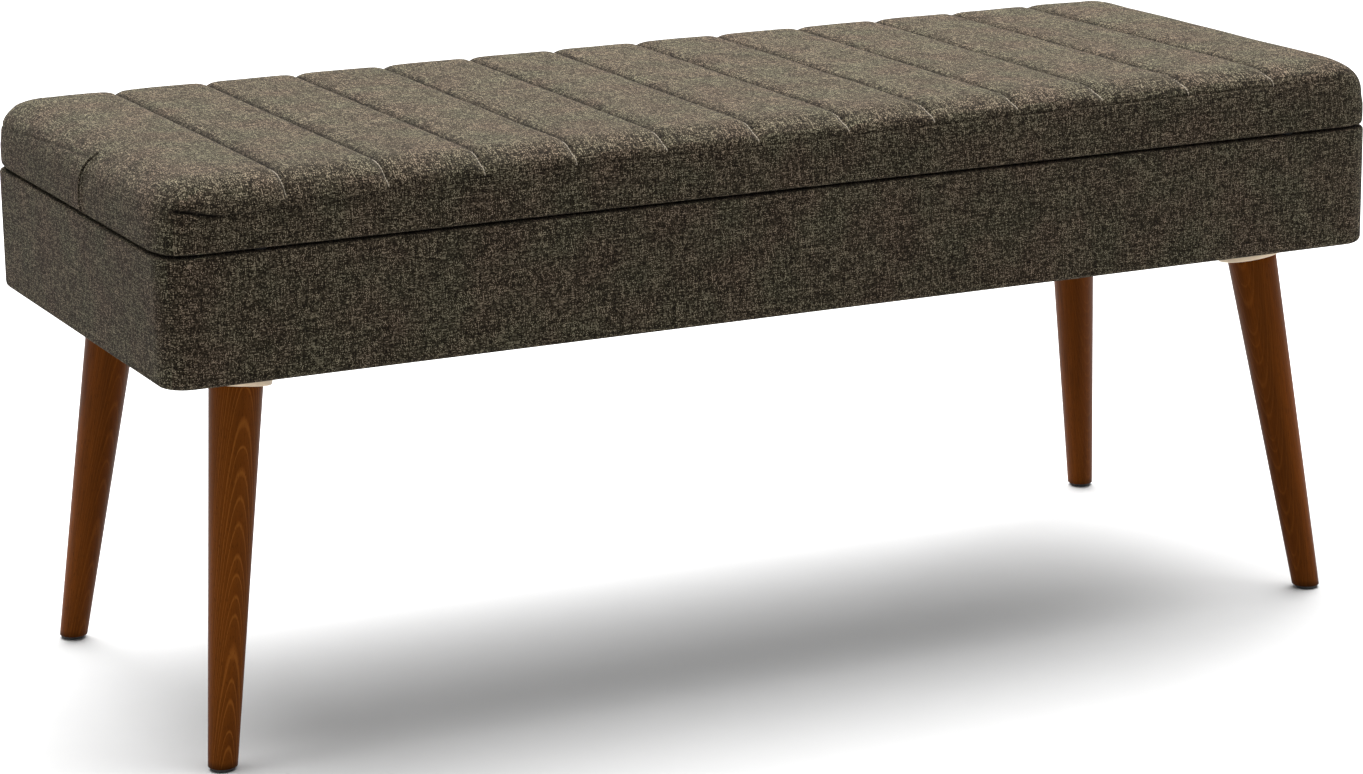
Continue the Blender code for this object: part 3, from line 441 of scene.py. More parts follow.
def noise_at(places, seed):
    """Smooth noise from about -1 to 1 at each row of places."""
    shift = Vector((seed * 7.31, seed * 3.17, seed * 5.53))
    return np.array([noise.noise(Vector(p) + shift) for p in places])


UPWARD = 0.72  # faces whose normals rise or fall more than this are mapped from above


def map_cloth(data):
    """Stores the cloth's own coordinates, in metres, for each corner of each face."""
    corner_point = np.zeros(len(data.loops), int)
    data.loops.foreach_get("vertex_index", corner_point)
    totals = np.zeros(len(data.polygons), int)
    data.polygons.foreach_get("loop_total", totals)
    face_of = np.repeat(np.arange(len(totals)), totals)
    n = np.abs(rows_of(data.polygons, "normal"))[face_of]
    p = rows_of(data.vertices, "co")[corner_point]
    top = n[:, 2] > UPWARD
    side = (n[:, 0] > n[:, 1]) & ~top
    front = ~side & ~top
    cloth = np.zeros((len(p), 3))
    cloth[top, :2] = p[top][:, (0, 1)]
    cloth[side, :2] = p[side][:, (1, 2)]
    cloth[front, :2] = p[front][:, (0, 2)]
    add_vector(data, "cloth", "CORNER", cloth)


# ---------------------------------------------------------------- the lid's outside

LID_LOW, LID_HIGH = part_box("lid_cover")
EDGE_SAG = 0.0008  # how far the lid's and the box's fabric each reach into the gap between them
LID_LOW.z -= EDGE_SAG
BOARD_LOW, BOARD_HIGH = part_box("lid_board")
BOARD_ROOM = 0.0003
CORNER_RADIUS = 0.023
CORNER_REACH = 0.030  # the grid lines this close to an end of the top are spread round the corner
FRONT_SHOULDER = (0.030, 0.025)  # width and height of the rounding along front and back
END_SHOULDER = (0.032, 0.031)  # the same at the two ends
TOP_INSET = 0.036
BOTTOM_TURN = 0.004
BOTTOM_STEPS = 3
FOLD_WIDTH = 0.030
FOLD_RADIUS = 0.004
FOLD_INSETS = (0.010, 0.020, FOLD_WIDTH)
CHANNEL = 0.078
GROOVE_COUNT = 12
GROOVES = [(i - (GROOVE_COUNT - 1) / 2.0) * CHANNEL for i in range(GROOVE_COUNT)]
HALF_CELLS = (0.0, 0.0016, 0.004, 0.008, 0.0135, 0.021, 0.0295, CHANNEL / 2.0)
END_CELLS = 4
FINE_ROWS = (-0.0610, -0.0150)
FRONT_COUNT, FINE_COUNT, BACK_COUNT = 12, 26, 20
SEAM_DROP = 0.0165
SEAM_HEIGHT = LID_HIGH.z - SEAM_DROP
SHOULDER_DROPS = (0.00009, 0.0005, 0.0013, 0.0025, 0.0041, 0.0062, 0.0086, 0.0112, 0.0137, 0.0154, 0.0161)
SEAM_DROPS = (SEAM_DROP, 0.0169, 0.0176, 0.0194, 0.0225, 0.0265, 0.0325, 0.0385, 0.0450)
FRONT_SEAM = (  # (x, drop) of the seam along the front, lowest near the left corner
    (-0.5275, 0.0215),
    (-0.5080, 0.0230),
    (-0.4830, 0.0285),
    (-0.4500, 0.0280),
    (-0.4000, 0.0268),
    (-0.3500, 0.0235),
    (-0.2700, 0.0200),
    (0.0, 0.0185),
    (0.2000, 0.0165),
    (0.4000, 0.0150),
    (0.5275, 0.0160),
)


def lid_columns():
    """X of every grid column across the lid's top, close together at the grooves."""
    half = (LID_HIGH.x - LID_LOW.x) / 2.0 - TOP_INSET
    found = set()
    for groove in GROOVES:
        for step in HALF_CELLS:
            found.add(round(groove + step, 6))
            found.add(round(groove - step, 6))
    last = max(found)
    for k in range(1, END_CELLS + 1):
        place = last + (half - last) * k / END_CELLS
        found.add(round(place, 6))
        found.add(round(-place, 6))
    return np.array(sorted(found))


def lid_rows():
    """Y of every grid row across the lid's top, close together beside the side seams."""
    half = (LID_HIGH.y - LID_LOW.y) / 2.0 - TOP_INSET
    before = np.linspace(-half, FINE_ROWS[0], FRONT_COUNT)[:-1]
    fine = np.linspace(FINE_ROWS[0], FINE_ROWS[1], FINE_COUNT)
    after = np.linspace(FINE_ROWS[1], half, BACK_COUNT)[1:]
    return np.concatenate([before, fine, after])


def side_path(grid, half, radius):
    """For one side of a ring, the (along, inward) place of each grid line's end."""
    edge = abs(grid[-1])
    fixed = edge - CORNER_REACH
    straight = half - radius
    reach = straight + radius * math.pi / 4.0
    found = []
    for value in grid:
        size = abs(value)
        if size > fixed:
            size = fixed + (size - fixed) / (edge - fixed) * (reach - fixed)
        turn = max(0.0, size - straight)
        along, inward = size, 0.0
        if turn > 0.0:
            angle = turn / radius
            along = straight + radius * math.sin(angle)
            inward = radius * (1.0 - math.cos(angle))
        found.append((math.copysign(along, value), inward))
    return found


def ring_points(columns, rows, insets, radius):
    """One closed ring of (x, y), counter-clockwise from the front left corner."""
    half_x, half_y = LID_HIGH.x - insets[0], LID_HIGH.y - insets[1]
    front = side_path(columns, half_x, radius)
    side = side_path(rows, half_y, radius)
    ring = [(a, -half_y + i) for a, i in front[:-1]]
    ring += [(half_x - i, a) for a, i in side[:-1]]
    ring += [(a, half_y - i) for a, i in front[:0:-1]]
    ring += [(-half_x + i, a) for a, i in side[:0:-1]]
    return ring


def shoulder_inset(drop, shoulder):
    """How far in from the edge a rounded shoulder is at this drop below the top."""
    width, tall = shoulder
    if drop >= tall:
        return 0.0
    cosine = 1.0 - drop / tall
    return width * (1.0 - math.sqrt(1.0 - cosine * cosine))


def seam_drop(x, y):
    """How far below the top the seam runs at each place round the lid."""
    front = np.interp(x, [p[0] for p in FRONT_SEAM], [p[1] for p in FRONT_SEAM])
    share = 1.0 - smooth_step(y, LID_LOW.y + 0.015, LID_LOW.y + 0.040)
    return SEAM_DROP + (front - SEAM_DROP) * share


def lower_seam(points):
    """Slides the rings beside the seam down or up the shoulder, to follow the seam's course."""
    x, y, z = points.T
    drop = LID_HIGH.z - z
    under_top = smooth_step(drop, 0.001, SEAM_DROP - 0.002)
    near = under_top * (1.0 - smooth_step(drop, SEAM_DROP + 0.004, 0.048))
    moved = drop + (seam_drop(x, y) - SEAM_DROP) * near
    on_front = smooth_step(-y, -LID_LOW.y - 0.036, -LID_LOW.y - 0.026)
    before = np.array([shoulder_inset(d, FRONT_SHOULDER) for d in drop])
    after = np.array([shoulder_inset(d, FRONT_SHOULDER) for d in moved])
    return np.stack([x, y + (after - before) * on_front, LID_HIGH.z - moved], axis=1)


def lid_profile():
    """(insets, radius, height) of each ring down from the top grid, and under to the fold's edge."""
    profile = []
    for drop in SHOULDER_DROPS + SEAM_DROPS:
        insets = (shoulder_inset(drop, END_SHOULDER), shoulder_inset(drop, FRONT_SHOULDER))
        share = 1.0 - sum(insets) / 2.0 / TOP_INSET
        profile.append((insets, CORNER_RADIUS * math.sqrt(share), LID_HIGH.z - drop))
    for k in range(BOTTOM_STEPS + 1):
        angle = math.pi / 2.0 * k / BOTTOM_STEPS
        inset = BOTTOM_TURN * (1.0 - math.cos(angle))
        height = LID_LOW.z + BOTTOM_TURN * (1.0 - math.sin(angle))
        profile.append(((inset, inset), CORNER_RADIUS - inset, height))
    for inset in FOLD_INSETS:
        profile.append(((inset, inset), max(CORNER_RADIUS - inset, FOLD_RADIUS), LID_LOW.z))
    return profile


def grid_rim(nx, ny):
    """The numbers of the points round a grid, counter-clockwise from its first."""
    rim = list(range(nx - 1))
    rim += [k * nx + nx - 1 for k in range(ny - 1)]
    rim += [(ny - 1) * nx + nx - 1 - j for j in range(nx - 1)]
    rim += [(ny - 1 - k) * nx for k in range(ny - 1)]
    return rim


def make_lid():
    """The lid's outside as one grid: the top, and rings down its sides and under its edge."""
    columns, rows = lid_columns(), lid_rows()
    nx, ny = len(columns), len(rows)
    points = [(x, y, LID_HIGH.z) for y in rows for x in columns]
    faces = []
    for k in range(ny - 1):
        for j in range(nx - 1):
            a = k * nx + j
            faces.append((a, a + 1, a + nx + 1, a + nx))
    last = grid_rim(nx, ny)
    around = len(last)
    rings = [last]
    for insets, radius, height in lid_profile():
        ids = list(range(len(points), len(points) + around))
        points += [(x, y, height) for x, y in ring_points(columns, rows, insets, radius)]
        for k in range(around):
            n = (k + 1) % around
            faces.append((last[n], last[k], ids[k], ids[n]))
        last = ids
        rings.append(ids)
    points = lower_seam(np.array(points))
    return add_mesh("lid_upholstery", points, faces), columns, rows, rings


# ---------------------------------------------------------------- the lid's underside


def inner_profile():
    """(inset, radius, height) from the fold's edge, round the board, to the pad's flat face."""
    under = BOARD_LOW.z - BOARD_ROOM
    edge = LID_HIGH.x - BOARD_HIGH.x - BOARD_ROOM
    over = BOARD_HIGH.z + BOARD_ROOM
    radius = CORNER_RADIUS - edge
    return [(FOLD_WIDTH, FOLD_RADIUS, under), (edge, radius, under), (edge, radius, over)]


def open_loop(form):
    """The points round a mesh's one open edge, in order."""
    rim = {edge for edge in form.edges if edge.is_boundary}
    first = min(rim, key=lambda edge: edge.index)
    loop = [first.verts[0], first.verts[1]]
    used = {first}
    while True:
        step = [edge for edge in loop[-1].link_edges if edge in rim and edge not in used]
        if not step:
            break
        used.add(step[0])
        point = step[0].other_vert(loop[-1])
        if point is loop[0]:
            break
        loop.append(point)
    return loop


def close_inside(data):
    """Takes the open edge round the board's place and closes it with the pad's flat face."""
    form = bmesh.new()
    form.from_mesh(data)
    loop = open_loop(form)
    half = (LID_HIGH.x, LID_HIGH.y)
    core = [h - FOLD_WIDTH - FOLD_RADIUS for h in half]
    plan = [(point.co.x, point.co.y) for point in loop]
    for inset, radius, height in inner_profile():
        wide = [h - inset - radius for h in half]
        ring = []
        for place in plan:
            kept = [max(-c, min(c, p)) for c, p in zip(core, place)]
            out = Vector((place[0] - kept[0], place[1] - kept[1])).normalized()
            middle = [math.copysign(w, p) if abs(p) > c else p for w, c, p in zip(wide, core, place)]
            ring.append(form.verts.new((middle[0] + out.x * radius, middle[1] + out.y * radius, height)))
        for k in range(len(loop)):
            n = (k + 1) % len(loop)
            form.faces.new((loop[k], loop[n], ring[n], ring[k])).smooth = True
        loop = ring
    form.faces.new(loop)
    bmesh.ops.recalc_face_normals(form, faces=form.faces)
    form.to_mesh(data)
    form.free()


# ---------------------------------------------------------------- the lid's swelling

SWELL = 0.30  # share of the simulated movement that is kept
CLOTH_FRAMES = 20
CLOTH_CAP = 0.006  # no point moves further than this
CLOTH_SETTINGS = {
    "quality": 6,
    "mass": 0.25,
    "tension_stiffness": 25.0,
    "compression_stiffness": 25.0,
    "shear_stiffness": 8.0,
    "bending_stiffness": 2.0,
    "use_pressure": True,
    "uniform_pressure_force": 4.0,
    "vertex_group_mass": "held",
}


def held_points(columns, rows, rings):
    """The points that are sewn down: along the grooves, at the seam and all below it."""
    nx, ny = len(columns), len(rows)
    lines = [j for j, x in enumerate(columns) if min(abs(x - g) for g in GROOVES) < 1e-5]
    held = {k * nx + j for j in lines for k in range(ny)}
    for number, ids in enumerate(rings[1:], start=1):
        if number > len(SHOULDER_DROPS):
            held.update(ids)
            continue
        for j in lines:
            held.add(ids[j])
            held.add(ids[2 * nx + ny - 3 - j])
    return sorted(held)


def lid_cloth(lid, held):
    """How far each point of the lid's cover moves when it swells, held where it is sewn down."""
    start = rows_of(lid.data.vertices, "co")
    group = lid.vertex_groups.new(name="held")
    group.add(held, 1.0, "REPLACE")
    cloth = lid.modifiers.new("cloth", "CLOTH")
    for key, value in CLOTH_SETTINGS.items():
        setattr(cloth.settings, key, value)
    cloth.settings.effector_weights.gravity = 0.0
    cloth.collision_settings.use_collision = False
    scene = bpy.context.scene
    scene.frame_start, scene.frame_end = 1, CLOTH_FRAMES
    for number in range(1, CLOTH_FRAMES + 1):
        scene.frame_set(number)
    moved = lid.evaluated_get(bpy.context.evaluated_depsgraph_get())
    change = rows_of(moved.data.vertices, "co") - start
    lid.modifiers.remove(cloth)
    scene.frame_set(1)
    lid.vertex_groups.clear()
    size = np.linalg.norm(change, axis=1)
    scale = np.where(size > CLOTH_CAP, CLOTH_CAP / np.maximum(size, 1e-9), 1.0)
    return change * scale[:, None]


def swell_lid(lid, held):
    """Swells the cover between its grooves, keeps the lid's height and makes the mesh finer."""
    swollen = rows_of(lid.data.vertices, "co")
    swollen += SWELL * lid_cloth(lid, held)
    above = swollen[:, 2].max() - LID_HIGH.z
    swollen[:, 2] -= above * smooth_step(swollen[:, 2], SEAM_HEIGHT, LID_HIGH.z - 0.002)
    set_points(lid.data, swollen)
    divide = lid.modifiers.new("divide", "SUBSURF")
    divide.levels = 1
    divide.render_levels = 1
    apply_modifiers(lid)


# ---------------------------------------------------------------- the lid's grooves and seams

GROOVE_DEPTH = 0.0044
GROOVE_WIDE, GROOVE_NARROW = 0.0048, 0.0016
WIDE_SHARE = 0.62
GROOVE_FADE = 0.012  # a groove runs out over this height above the seam
GROOVE_REACH = (0.455, 0.47)  # and between these distances from the middle of the lid
PUCKER, PUCKER_WIDTH, PUCKER_SCALES = 0.00045, 0.007, (190.0, 260.0, 260.0)
RIPPLE, RIPPLE_SCALES = 0.00032, (150.0, 24.0, 24.0)
WAVE, WAVE_SCALES = 0.00050, (22.0, 14.0, 14.0)
SEAM_WIDTH, SEAM_DEPTH = 0.0009, 0.0008
FOLD_MORE_WIDTH, FOLD_MORE_DEPTH = 0.0007, 0.0012  # added at the front left corner's fold
SEAM_SWELL, SEAM_SWELL_RISE, SEAM_SWELL_WIDTH = 0.0012, 0.0060, 0.0045
# SIDE_SHADE and REAR_SHADE: how much shade is painted along the side seam and the rear seam
SIDE_WIDTH, SIDE_DEPTH, SIDE_SHADE = 0.0029, 0.0030, 2.4
REAR_WIDTH, REAR_DEPTH, REAR_SHADE = 0.0013, 0.0008, 0.55
OVERLAP_AHEAD, OVERLAP_WIDTH, OVERLAP_RISE = 0.0048, 0.0024, 0.0012
CORNER_FULL = 0.0014  # how far the cover stands out at its lower corners, round the board's
SIDE_SEAM = (  # (y, z) down an end
    (-0.0345, 0.4460),
    (-0.0320, 0.4440),
    (-0.0305, 0.4390),
    (-0.0270, 0.4325),
    (-0.0230, 0.4220),
    (-0.0210, 0.4130),
    (-0.0220, 0.4070),
    (-0.0270, 0.4020),
)
REAR_SEAM = (  # (y, z) from the side seam's top to the back
    (-0.0345, 0.4455),
    (0.0380, 0.4430),
    (0.0850, 0.4400),
    (0.1350, 0.4375),
    (0.2150, 0.4330),
)
GROOVE_LEAN = (0.5, 1.5, 0.5, -2.5, -4.5, -4.5, -4.0, -6.0, -7.5, -7.0, -4.5, -0.5)  # millimetres


def lean(points):
    """How far each place moves along X, so the channels run slightly out of square."""
    at = [LID_LOW.x] + GROOVES + [LID_HIGH.x]
    amount = np.interp(points[:, 0], at, [0.0] + [0.001 * v for v in GROOVE_LEAN] + [0.0])
    share = smooth_step(-points[:, 1], -LID_HIGH.y, -LID_LOW.y)
    return amount * share * smooth_step(points[:, 2], LID_LOW.z + 0.004, LID_LOW.z + 0.030)


def near_path(along, height, path):
    """Distance from points on a side face, (along, height), to a path of such points."""
    best = np.full(len(along), 1.0)
    for (a0, h0), (a1, h1) in zip(path[:-1], path[1:]):
        da, dh = a1 - a0, h1 - h0
        t = np.clip(((along - a0) * da + (height - h0) * dh) / (da * da + dh * dh), 0.0, 1.0)
        best = np.minimum(best, np.hypot(along - a0 - t * da, height - h0 - t * dh))
    return best


def groove_relief(points, normals, over):
    """(cut, painted shade) of the grooves, the puckers beside them and the slack of the fabric."""
    x = points[:, 0]
    level = np.abs(normals[:, 2])
    fade = smooth_step(over, 0.0, GROOVE_FADE)
    end_fade = 1.0 - smooth_step(np.abs(x), *GROOVE_REACH)
    nearest = np.full(len(x), 1.0)
    cut = np.zeros(len(x))
    for groove in GROOVES:
        away = np.abs(x - groove)
        nearest = np.minimum(nearest, away)
        wide, narrow = bell(away, GROOVE_WIDE, 1.4), bell(away, GROOVE_NARROW, 1)
        cut += GROOVE_DEPTH * (WIDE_SHARE * wide + (1.0 - WIDE_SHARE) * narrow)
    cut = cut * fade * end_fade
    cut += PUCKER * bell(nearest, PUCKER_WIDTH) * fade * noise_at(points * PUCKER_SCALES, 1)
    shoulder = smooth_step(over, 0.0, 0.006) * (level < 0.93)
    cut += RIPPLE * shoulder * noise_at(points * RIPPLE_SCALES, 2)
    cut += WAVE * fade * noise_at(points * WAVE_SCALES, 3)
    # painted shade along the bottom of each groove, fuller on the top than on the shoulder
    return cut, bell(nearest, 0.0026) * fade * end_fade * (0.25 + 0.75 * (level > 0.9))


def seam_relief(points, normals, over):
    """(cut, painted shade) of the seam along front and back, with the fold at the front left corner, where the
    painted shade is darkest.
    """
    x, y, _ = points.T
    plan = np.hypot(normals[:, 0], normals[:, 1]) + 1e-9
    off_end = 1.0 - smooth_step(np.abs(normals[:, 0]) / plan, 0.60, 0.90)
    fold = (1.0 - smooth_step(x - LID_LOW.x, 0.028, 0.062)) * (y < 0.0)
    right_fade = 1.0 - 0.7 * smooth_step(x, 0.43, 0.49)
    line = bell(over, SEAM_WIDTH + FOLD_MORE_WIDTH * fold) * (np.abs(normals[:, 2]) < 0.9)
    line *= off_end * right_fade
    swell_out = bell(over - SEAM_SWELL_RISE, SEAM_SWELL_WIDTH) * off_end
    cut = line * (SEAM_DEPTH + FOLD_MORE_DEPTH * fold) - SEAM_SWELL * swell_out
    # painted shade along the seam, much darker at the front left fold
    return cut, line * (0.30 + 1.30 * fold)


def end_relief(points):
    """(cut, painted shade) of the seams on the lid's two ends, with the fabric's overlap beside one."""
    x, y, z = points.T
    side = (np.abs(x) > LID_HIGH.x - 0.030) & (np.abs(y) < LID_HIGH.y - 0.004)
    seam = bell(near_path(y, z, SIDE_SEAM), SIDE_WIDTH, 4) * side
    rear = bell(near_path(y, z, REAR_SEAM), REAR_WIDTH) * side
    overlap = bell(near_path(y + OVERLAP_AHEAD, z, SIDE_SEAM), OVERLAP_WIDTH) * side
    cut = SIDE_DEPTH * seam + REAR_DEPTH * rear - OVERLAP_RISE * overlap
    # painted shade: a dark line down the side seam and a fainter one along the rear seam
    return cut, np.maximum(SIDE_SHADE * seam, REAR_SHADE * rear)


def corner_rise(points, normals):
    """How far the cover stands out at its lower corners."""
    plan = np.hypot(normals[:, 0], normals[:, 1]) + 1e-9
    at_corner = smooth_step(np.abs(normals[:, 0] * normals[:, 1]) / plan**2, 0.15, 0.45)
    return CORNER_FULL * at_corner * (1.0 - smooth_step(points[:, 2], LID_LOW.z + 0.016, LID_LOW.z + 0.026))


def lid_cover():
    """Builds, swells, quilts and maps the lid's cover.

    Also gives the outside's points before they lean, their normals and which of them are outside.
    """
    lid, columns, rows, rings = make_lid()
    swell_lid(lid, held_points(columns, rows, rings))
    data = lid.data
    points = rows_of(data.vertices, "co")
    normals = rows_of(data.vertices, "normal")
    outside = points[:, 2] > LID_LOW.z + 0.002
    over = points[:, 2] - (LID_HIGH.z - seam_drop(points[:, 0], points[:, 1]))
    groove_cut, groove_shade = groove_relief(points, normals, over)
    seam_cut, seam_shade = seam_relief(points, normals, over)
    end_cut, end_shade = end_relief(points)
    cut = groove_cut + seam_cut + end_cut - corner_rise(points, normals)
    # the painted shade of the grooves, seams and fold, on the outside only
    painted_shade = np.maximum(np.maximum(groove_shade, seam_shade), end_shade) * outside
    points = points - normals * (cut * outside)[:, None]
    leaning = points.copy()
    leaning[:, 0] += lean(points)
    set_points(data, leaning)
    close_inside(data)
    inside = np.zeros(len(data.vertices) - len(painted_shade))
    add_value(data, "painted_shade", np.concatenate([painted_shade, inside]))
    map_cloth(data)
    return lid, points, normals, outside


# ---------------------------------------------------------------- the lid's thread

THREAD_RADIUS = 0.00042
THREAD_SIDES = 6
THREAD_TIP = 0.55
STITCH = 0.0034
STITCH_GAP = 0.0005
STITCH_ARCH = ((0.0, -0.5), (0.15, 0.5), (0.5, 0.9), (0.85, 0.5), (1.0, -0.5))  # (share, rise in radii)
STITCH_SINK = 1.5  # radii by which the thread lies deeper in the middle of the lid
SINK_FROM, SINK_TO = 0.046, 0.078  # distances from the lid's front or back
STITCH_ENDS = (  # how far below the top each groove's thread ends at the front, from left to right
    *(0.0210, 0.0230, 0.0205, 0.0195, 0.0180, 0.0185),
    *(0.0165, 0.0170, 0.0155, 0.0145, 0.0155, 0.0160),
)


def groove_line(points, normals, outside, number):
    """The points along the bottom of one groove, from its back end to its front end."""
    end = np.where(points[:, 1] < 0.0, STITCH_ENDS[number], SEAM_DROP - 0.001)
    chosen = outside & (np.abs(points[:, 0] - GROOVES[number]) < 2e-4)
    chosen &= points[:, 2] > LID_HIGH.z - end - 0.0005
    line, up = points[chosen], normals[chosen]
    turn = np.arctan2(line[:, 1], line[:, 2] - SEAM_HEIGHT + 0.25)
    order = np.argsort(-turn)
    return line[order], up[order]


def add_capsule(points, faces, spine, radius):
    """Adds a thread with narrowed ends along a short spine of points."""
    start = len(points)
    last = len(spine) - 1
    for index, middle in enumerate(spine):
        ahead = (spine[min(index + 1, last)] - spine[max(index - 1, 0)]).normalized()
        across = ahead.orthogonal().normalized()
        other = ahead.cross(across)
        size = radius * (THREAD_TIP if index in (0, last) else 1.0)
        for k in range(THREAD_SIDES):
            angle = math.tau * k / THREAD_SIDES
            points.append(middle + (across * math.cos(angle) + other * math.sin(angle)) * size)
    for index in range(last):
        ring = start + index * THREAD_SIDES
        for k in range(THREAD_SIDES):
            a, b = ring + k, ring + (k + 1) % THREAD_SIDES
            faces.append((a, b, b + THREAD_SIDES, a + THREAD_SIDES))
    faces.append(tuple(start + k for k in reversed(range(THREAD_SIDES))))
    faces.append(tuple(start + last * THREAD_SIDES + k for k in range(THREAD_SIDES)))


def lid_stitches(points, normals, outside):
    """The sewing thread along every groove, as single stitches."""
    made_points, made_faces = [], []
    for number in range(GROOVE_COUNT):
        line, up = groove_line(points, normals, outside, number)
        run = np.concatenate([[0.0], np.cumsum(np.linalg.norm(np.diff(line, axis=0), axis=1))])
        place = STITCH_GAP
        while place + STITCH < run[-1]:
            spine = []
            for share, rise in STITCH_ARCH:
                at = place + (STITCH - STITCH_GAP) * share
                p = [np.interp(at, run, line[:, k]) for k in range(3)]
                n = Vector([np.interp(at, run, up[:, k]) for k in range(3)]).normalized()
                sink = STITCH_SINK * smooth_step(LID_HIGH.y - abs(p[1]), SINK_FROM, SINK_TO)
                p[0] += float(lean(np.array([p]))[0])
                spine.append(Vector(p) + n * (THREAD_RADIUS * (rise - sink)))
            add_capsule(made_points, made_faces, spine, THREAD_RADIUS)
            place += STITCH
    return add_mesh("lid_stitches", made_points, made_faces)


# ---------------------------------------------------------------- the upholstered box

BOX_LOW, BOX_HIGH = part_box("base_cover")
BOX_HIGH.z += EDGE_SAG
LONG_STEPS, SHORT_STEPS, CORNER_STEPS = 170, 66, 10
RIM_STEPS, WALL_STEPS, FOOT_STEPS = 4, 16, 6
BOX_WALL = 0.0038
BOX_FOLD = 0.0016  # thickness of the fabric folded over the rim and underneath
BOX_RIM = 0.0028
BOX_FOOT = 0.0055
FOLD_EASE = 0.0004
TOP_FOLD, BOTTOM_FOLD = 0.0175, 0.028
LEAST_RADIUS = 0.0015


def box_outline(inset, radius):
    """A rounded rectangle of (x, y), counter-clockwise."""
    middle_x, middle_y = (BOX_HIGH.x + BOX_LOW.x) / 2.0, (BOX_HIGH.y + BOX_LOW.y) / 2.0
    hx = (BOX_HIGH.x - BOX_LOW.x) / 2.0 - inset - radius
    hy = (BOX_HIGH.y - BOX_LOW.y) / 2.0 - inset - radius
    corners = ((1, -1, SHORT_STEPS), (1, 1, LONG_STEPS), (-1, 1, SHORT_STEPS), (-1, -1, LONG_STEPS))
    found = []
    for index, (sx, sy, steps) in enumerate(corners):
        for k in range(CORNER_STEPS + 1):
            angle = math.radians(90.0 * (index - 1) + 90.0 * k / CORNER_STEPS)
            found.append((sx * hx + radius * math.cos(angle), sy * hy + radius * math.sin(angle)))
        next_x, next_y, _ = corners[(index + 1) % 4]
        begin = found[-1]
        end = (next_x * hx + radius * math.cos(angle), next_y * hy + radius * math.sin(angle))
        for k in range(1, steps):
            t = k / steps
            found.append((begin[0] + (end[0] - begin[0]) * t, begin[1] + (end[1] - begin[1]) * t))
    return [(x + middle_x, y + middle_y) for x, y in found]


def box_section():
    """The cover's closed section as (inset, height), from the rim's inner edge round the outside."""
    low, high = BOX_LOW.z, BOX_HIGH.z
    section = [(TOP_FOLD, high - BOX_FOLD), (TOP_FOLD, high - FOLD_EASE)]
    section += [(0.017, high), (0.012, high), (0.007, high)]
    for k in range(RIM_STEPS + 1):
        angle = math.pi / 2.0 * k / RIM_STEPS
        section.append((BOX_RIM * (1.0 - math.sin(angle)), high - BOX_RIM * (1.0 - math.cos(angle))))
    for k in range(1, WALL_STEPS):
        section.append((0.0, high - BOX_RIM - (high - low - BOX_RIM - BOX_FOOT) * k / WALL_STEPS))
    for k in range(FOOT_STEPS + 1):
        angle = math.pi / 2.0 * k / FOOT_STEPS
        section.append((BOX_FOOT * (1.0 - math.cos(angle)), low + BOX_FOOT * (1.0 - math.sin(angle))))
    section += [(0.012, low), (0.020, low), (0.0275, low)]
    section += [(BOTTOM_FOLD, low + FOLD_EASE), (BOTTOM_FOLD, low + BOX_FOLD)]
    section += [(0.020, low + BOX_FOLD), (0.008, low + BOX_FOLD), (BOX_WALL, low + BOX_FOLD + 0.001)]
    section += [(BOX_WALL, low + 0.03), (BOX_WALL, high - 0.03)]
    section += [(BOX_WALL, high - BOX_FOLD - 0.001), (BOX_WALL + 0.001, high - BOX_FOLD)]
    return section


def box_cover():
    """The box's fabric: outside walls, the fold over the rim and the fold underneath."""
    points, faces = [], []
    section = box_section()
    for inset, height in section:
        ring = box_outline(inset, max(CORNER_RADIUS - inset, LEAST_RADIUS))
        points += [(x, y, height) for x, y in ring]
    total = len(section)
    around = len(points) // total
    for s in range(total):
        here, after = s * around, (s + 1) % total * around
        for k in range(around):
            n = (k + 1) % around
            faces.append((here + k, after + k, after + n, here + n))
    made = add_mesh("box_upholstery", points, faces)
    # the box's fabric has no painted shade
    add_value(made.data, "painted_shade", np.zeros(len(made.data.vertices)))
    map_cloth(made.data)
    return made


# ---------------------------------------------------------------- legs

LEG_SIDES = 64
LEG_ROWS = 60
FOOT_ROUND = 0.0009
FLOOR_ROOM = 1e-5
HEAD_DEPTH, HEAD_RIM = 0.0025, 0.0195  # the head's points, and those of them near its edge
TOP_DEPTH = 0.004
FOOT_RIM = 0.008
# each leg is darkened up to this height above its foot
FOOT_DARK_HEIGHT = 0.004
WOOD_APART = 0.37  # how far apart the legs are taken from the wood, along its grain
CORNERS = ("front_left", "front_right", "back_left", "back_right")
GRAIN_FACES = {
    "front_left": (0.0, -1.0),
    "front_right": (-0.86, -0.5),
    "back_left": (0.3, -0.95),
    "back_right": (0.2, -1.0),
}
GRAIN_FIGURE = {"front_left": 0.85, "front_right": 0.30, "back_left": 0.35, "back_right": 0.20}
GRAIN_RUN = {"front_left": 1.0, "front_right": -0.45, "back_left": 0.8, "back_right": -0.7}


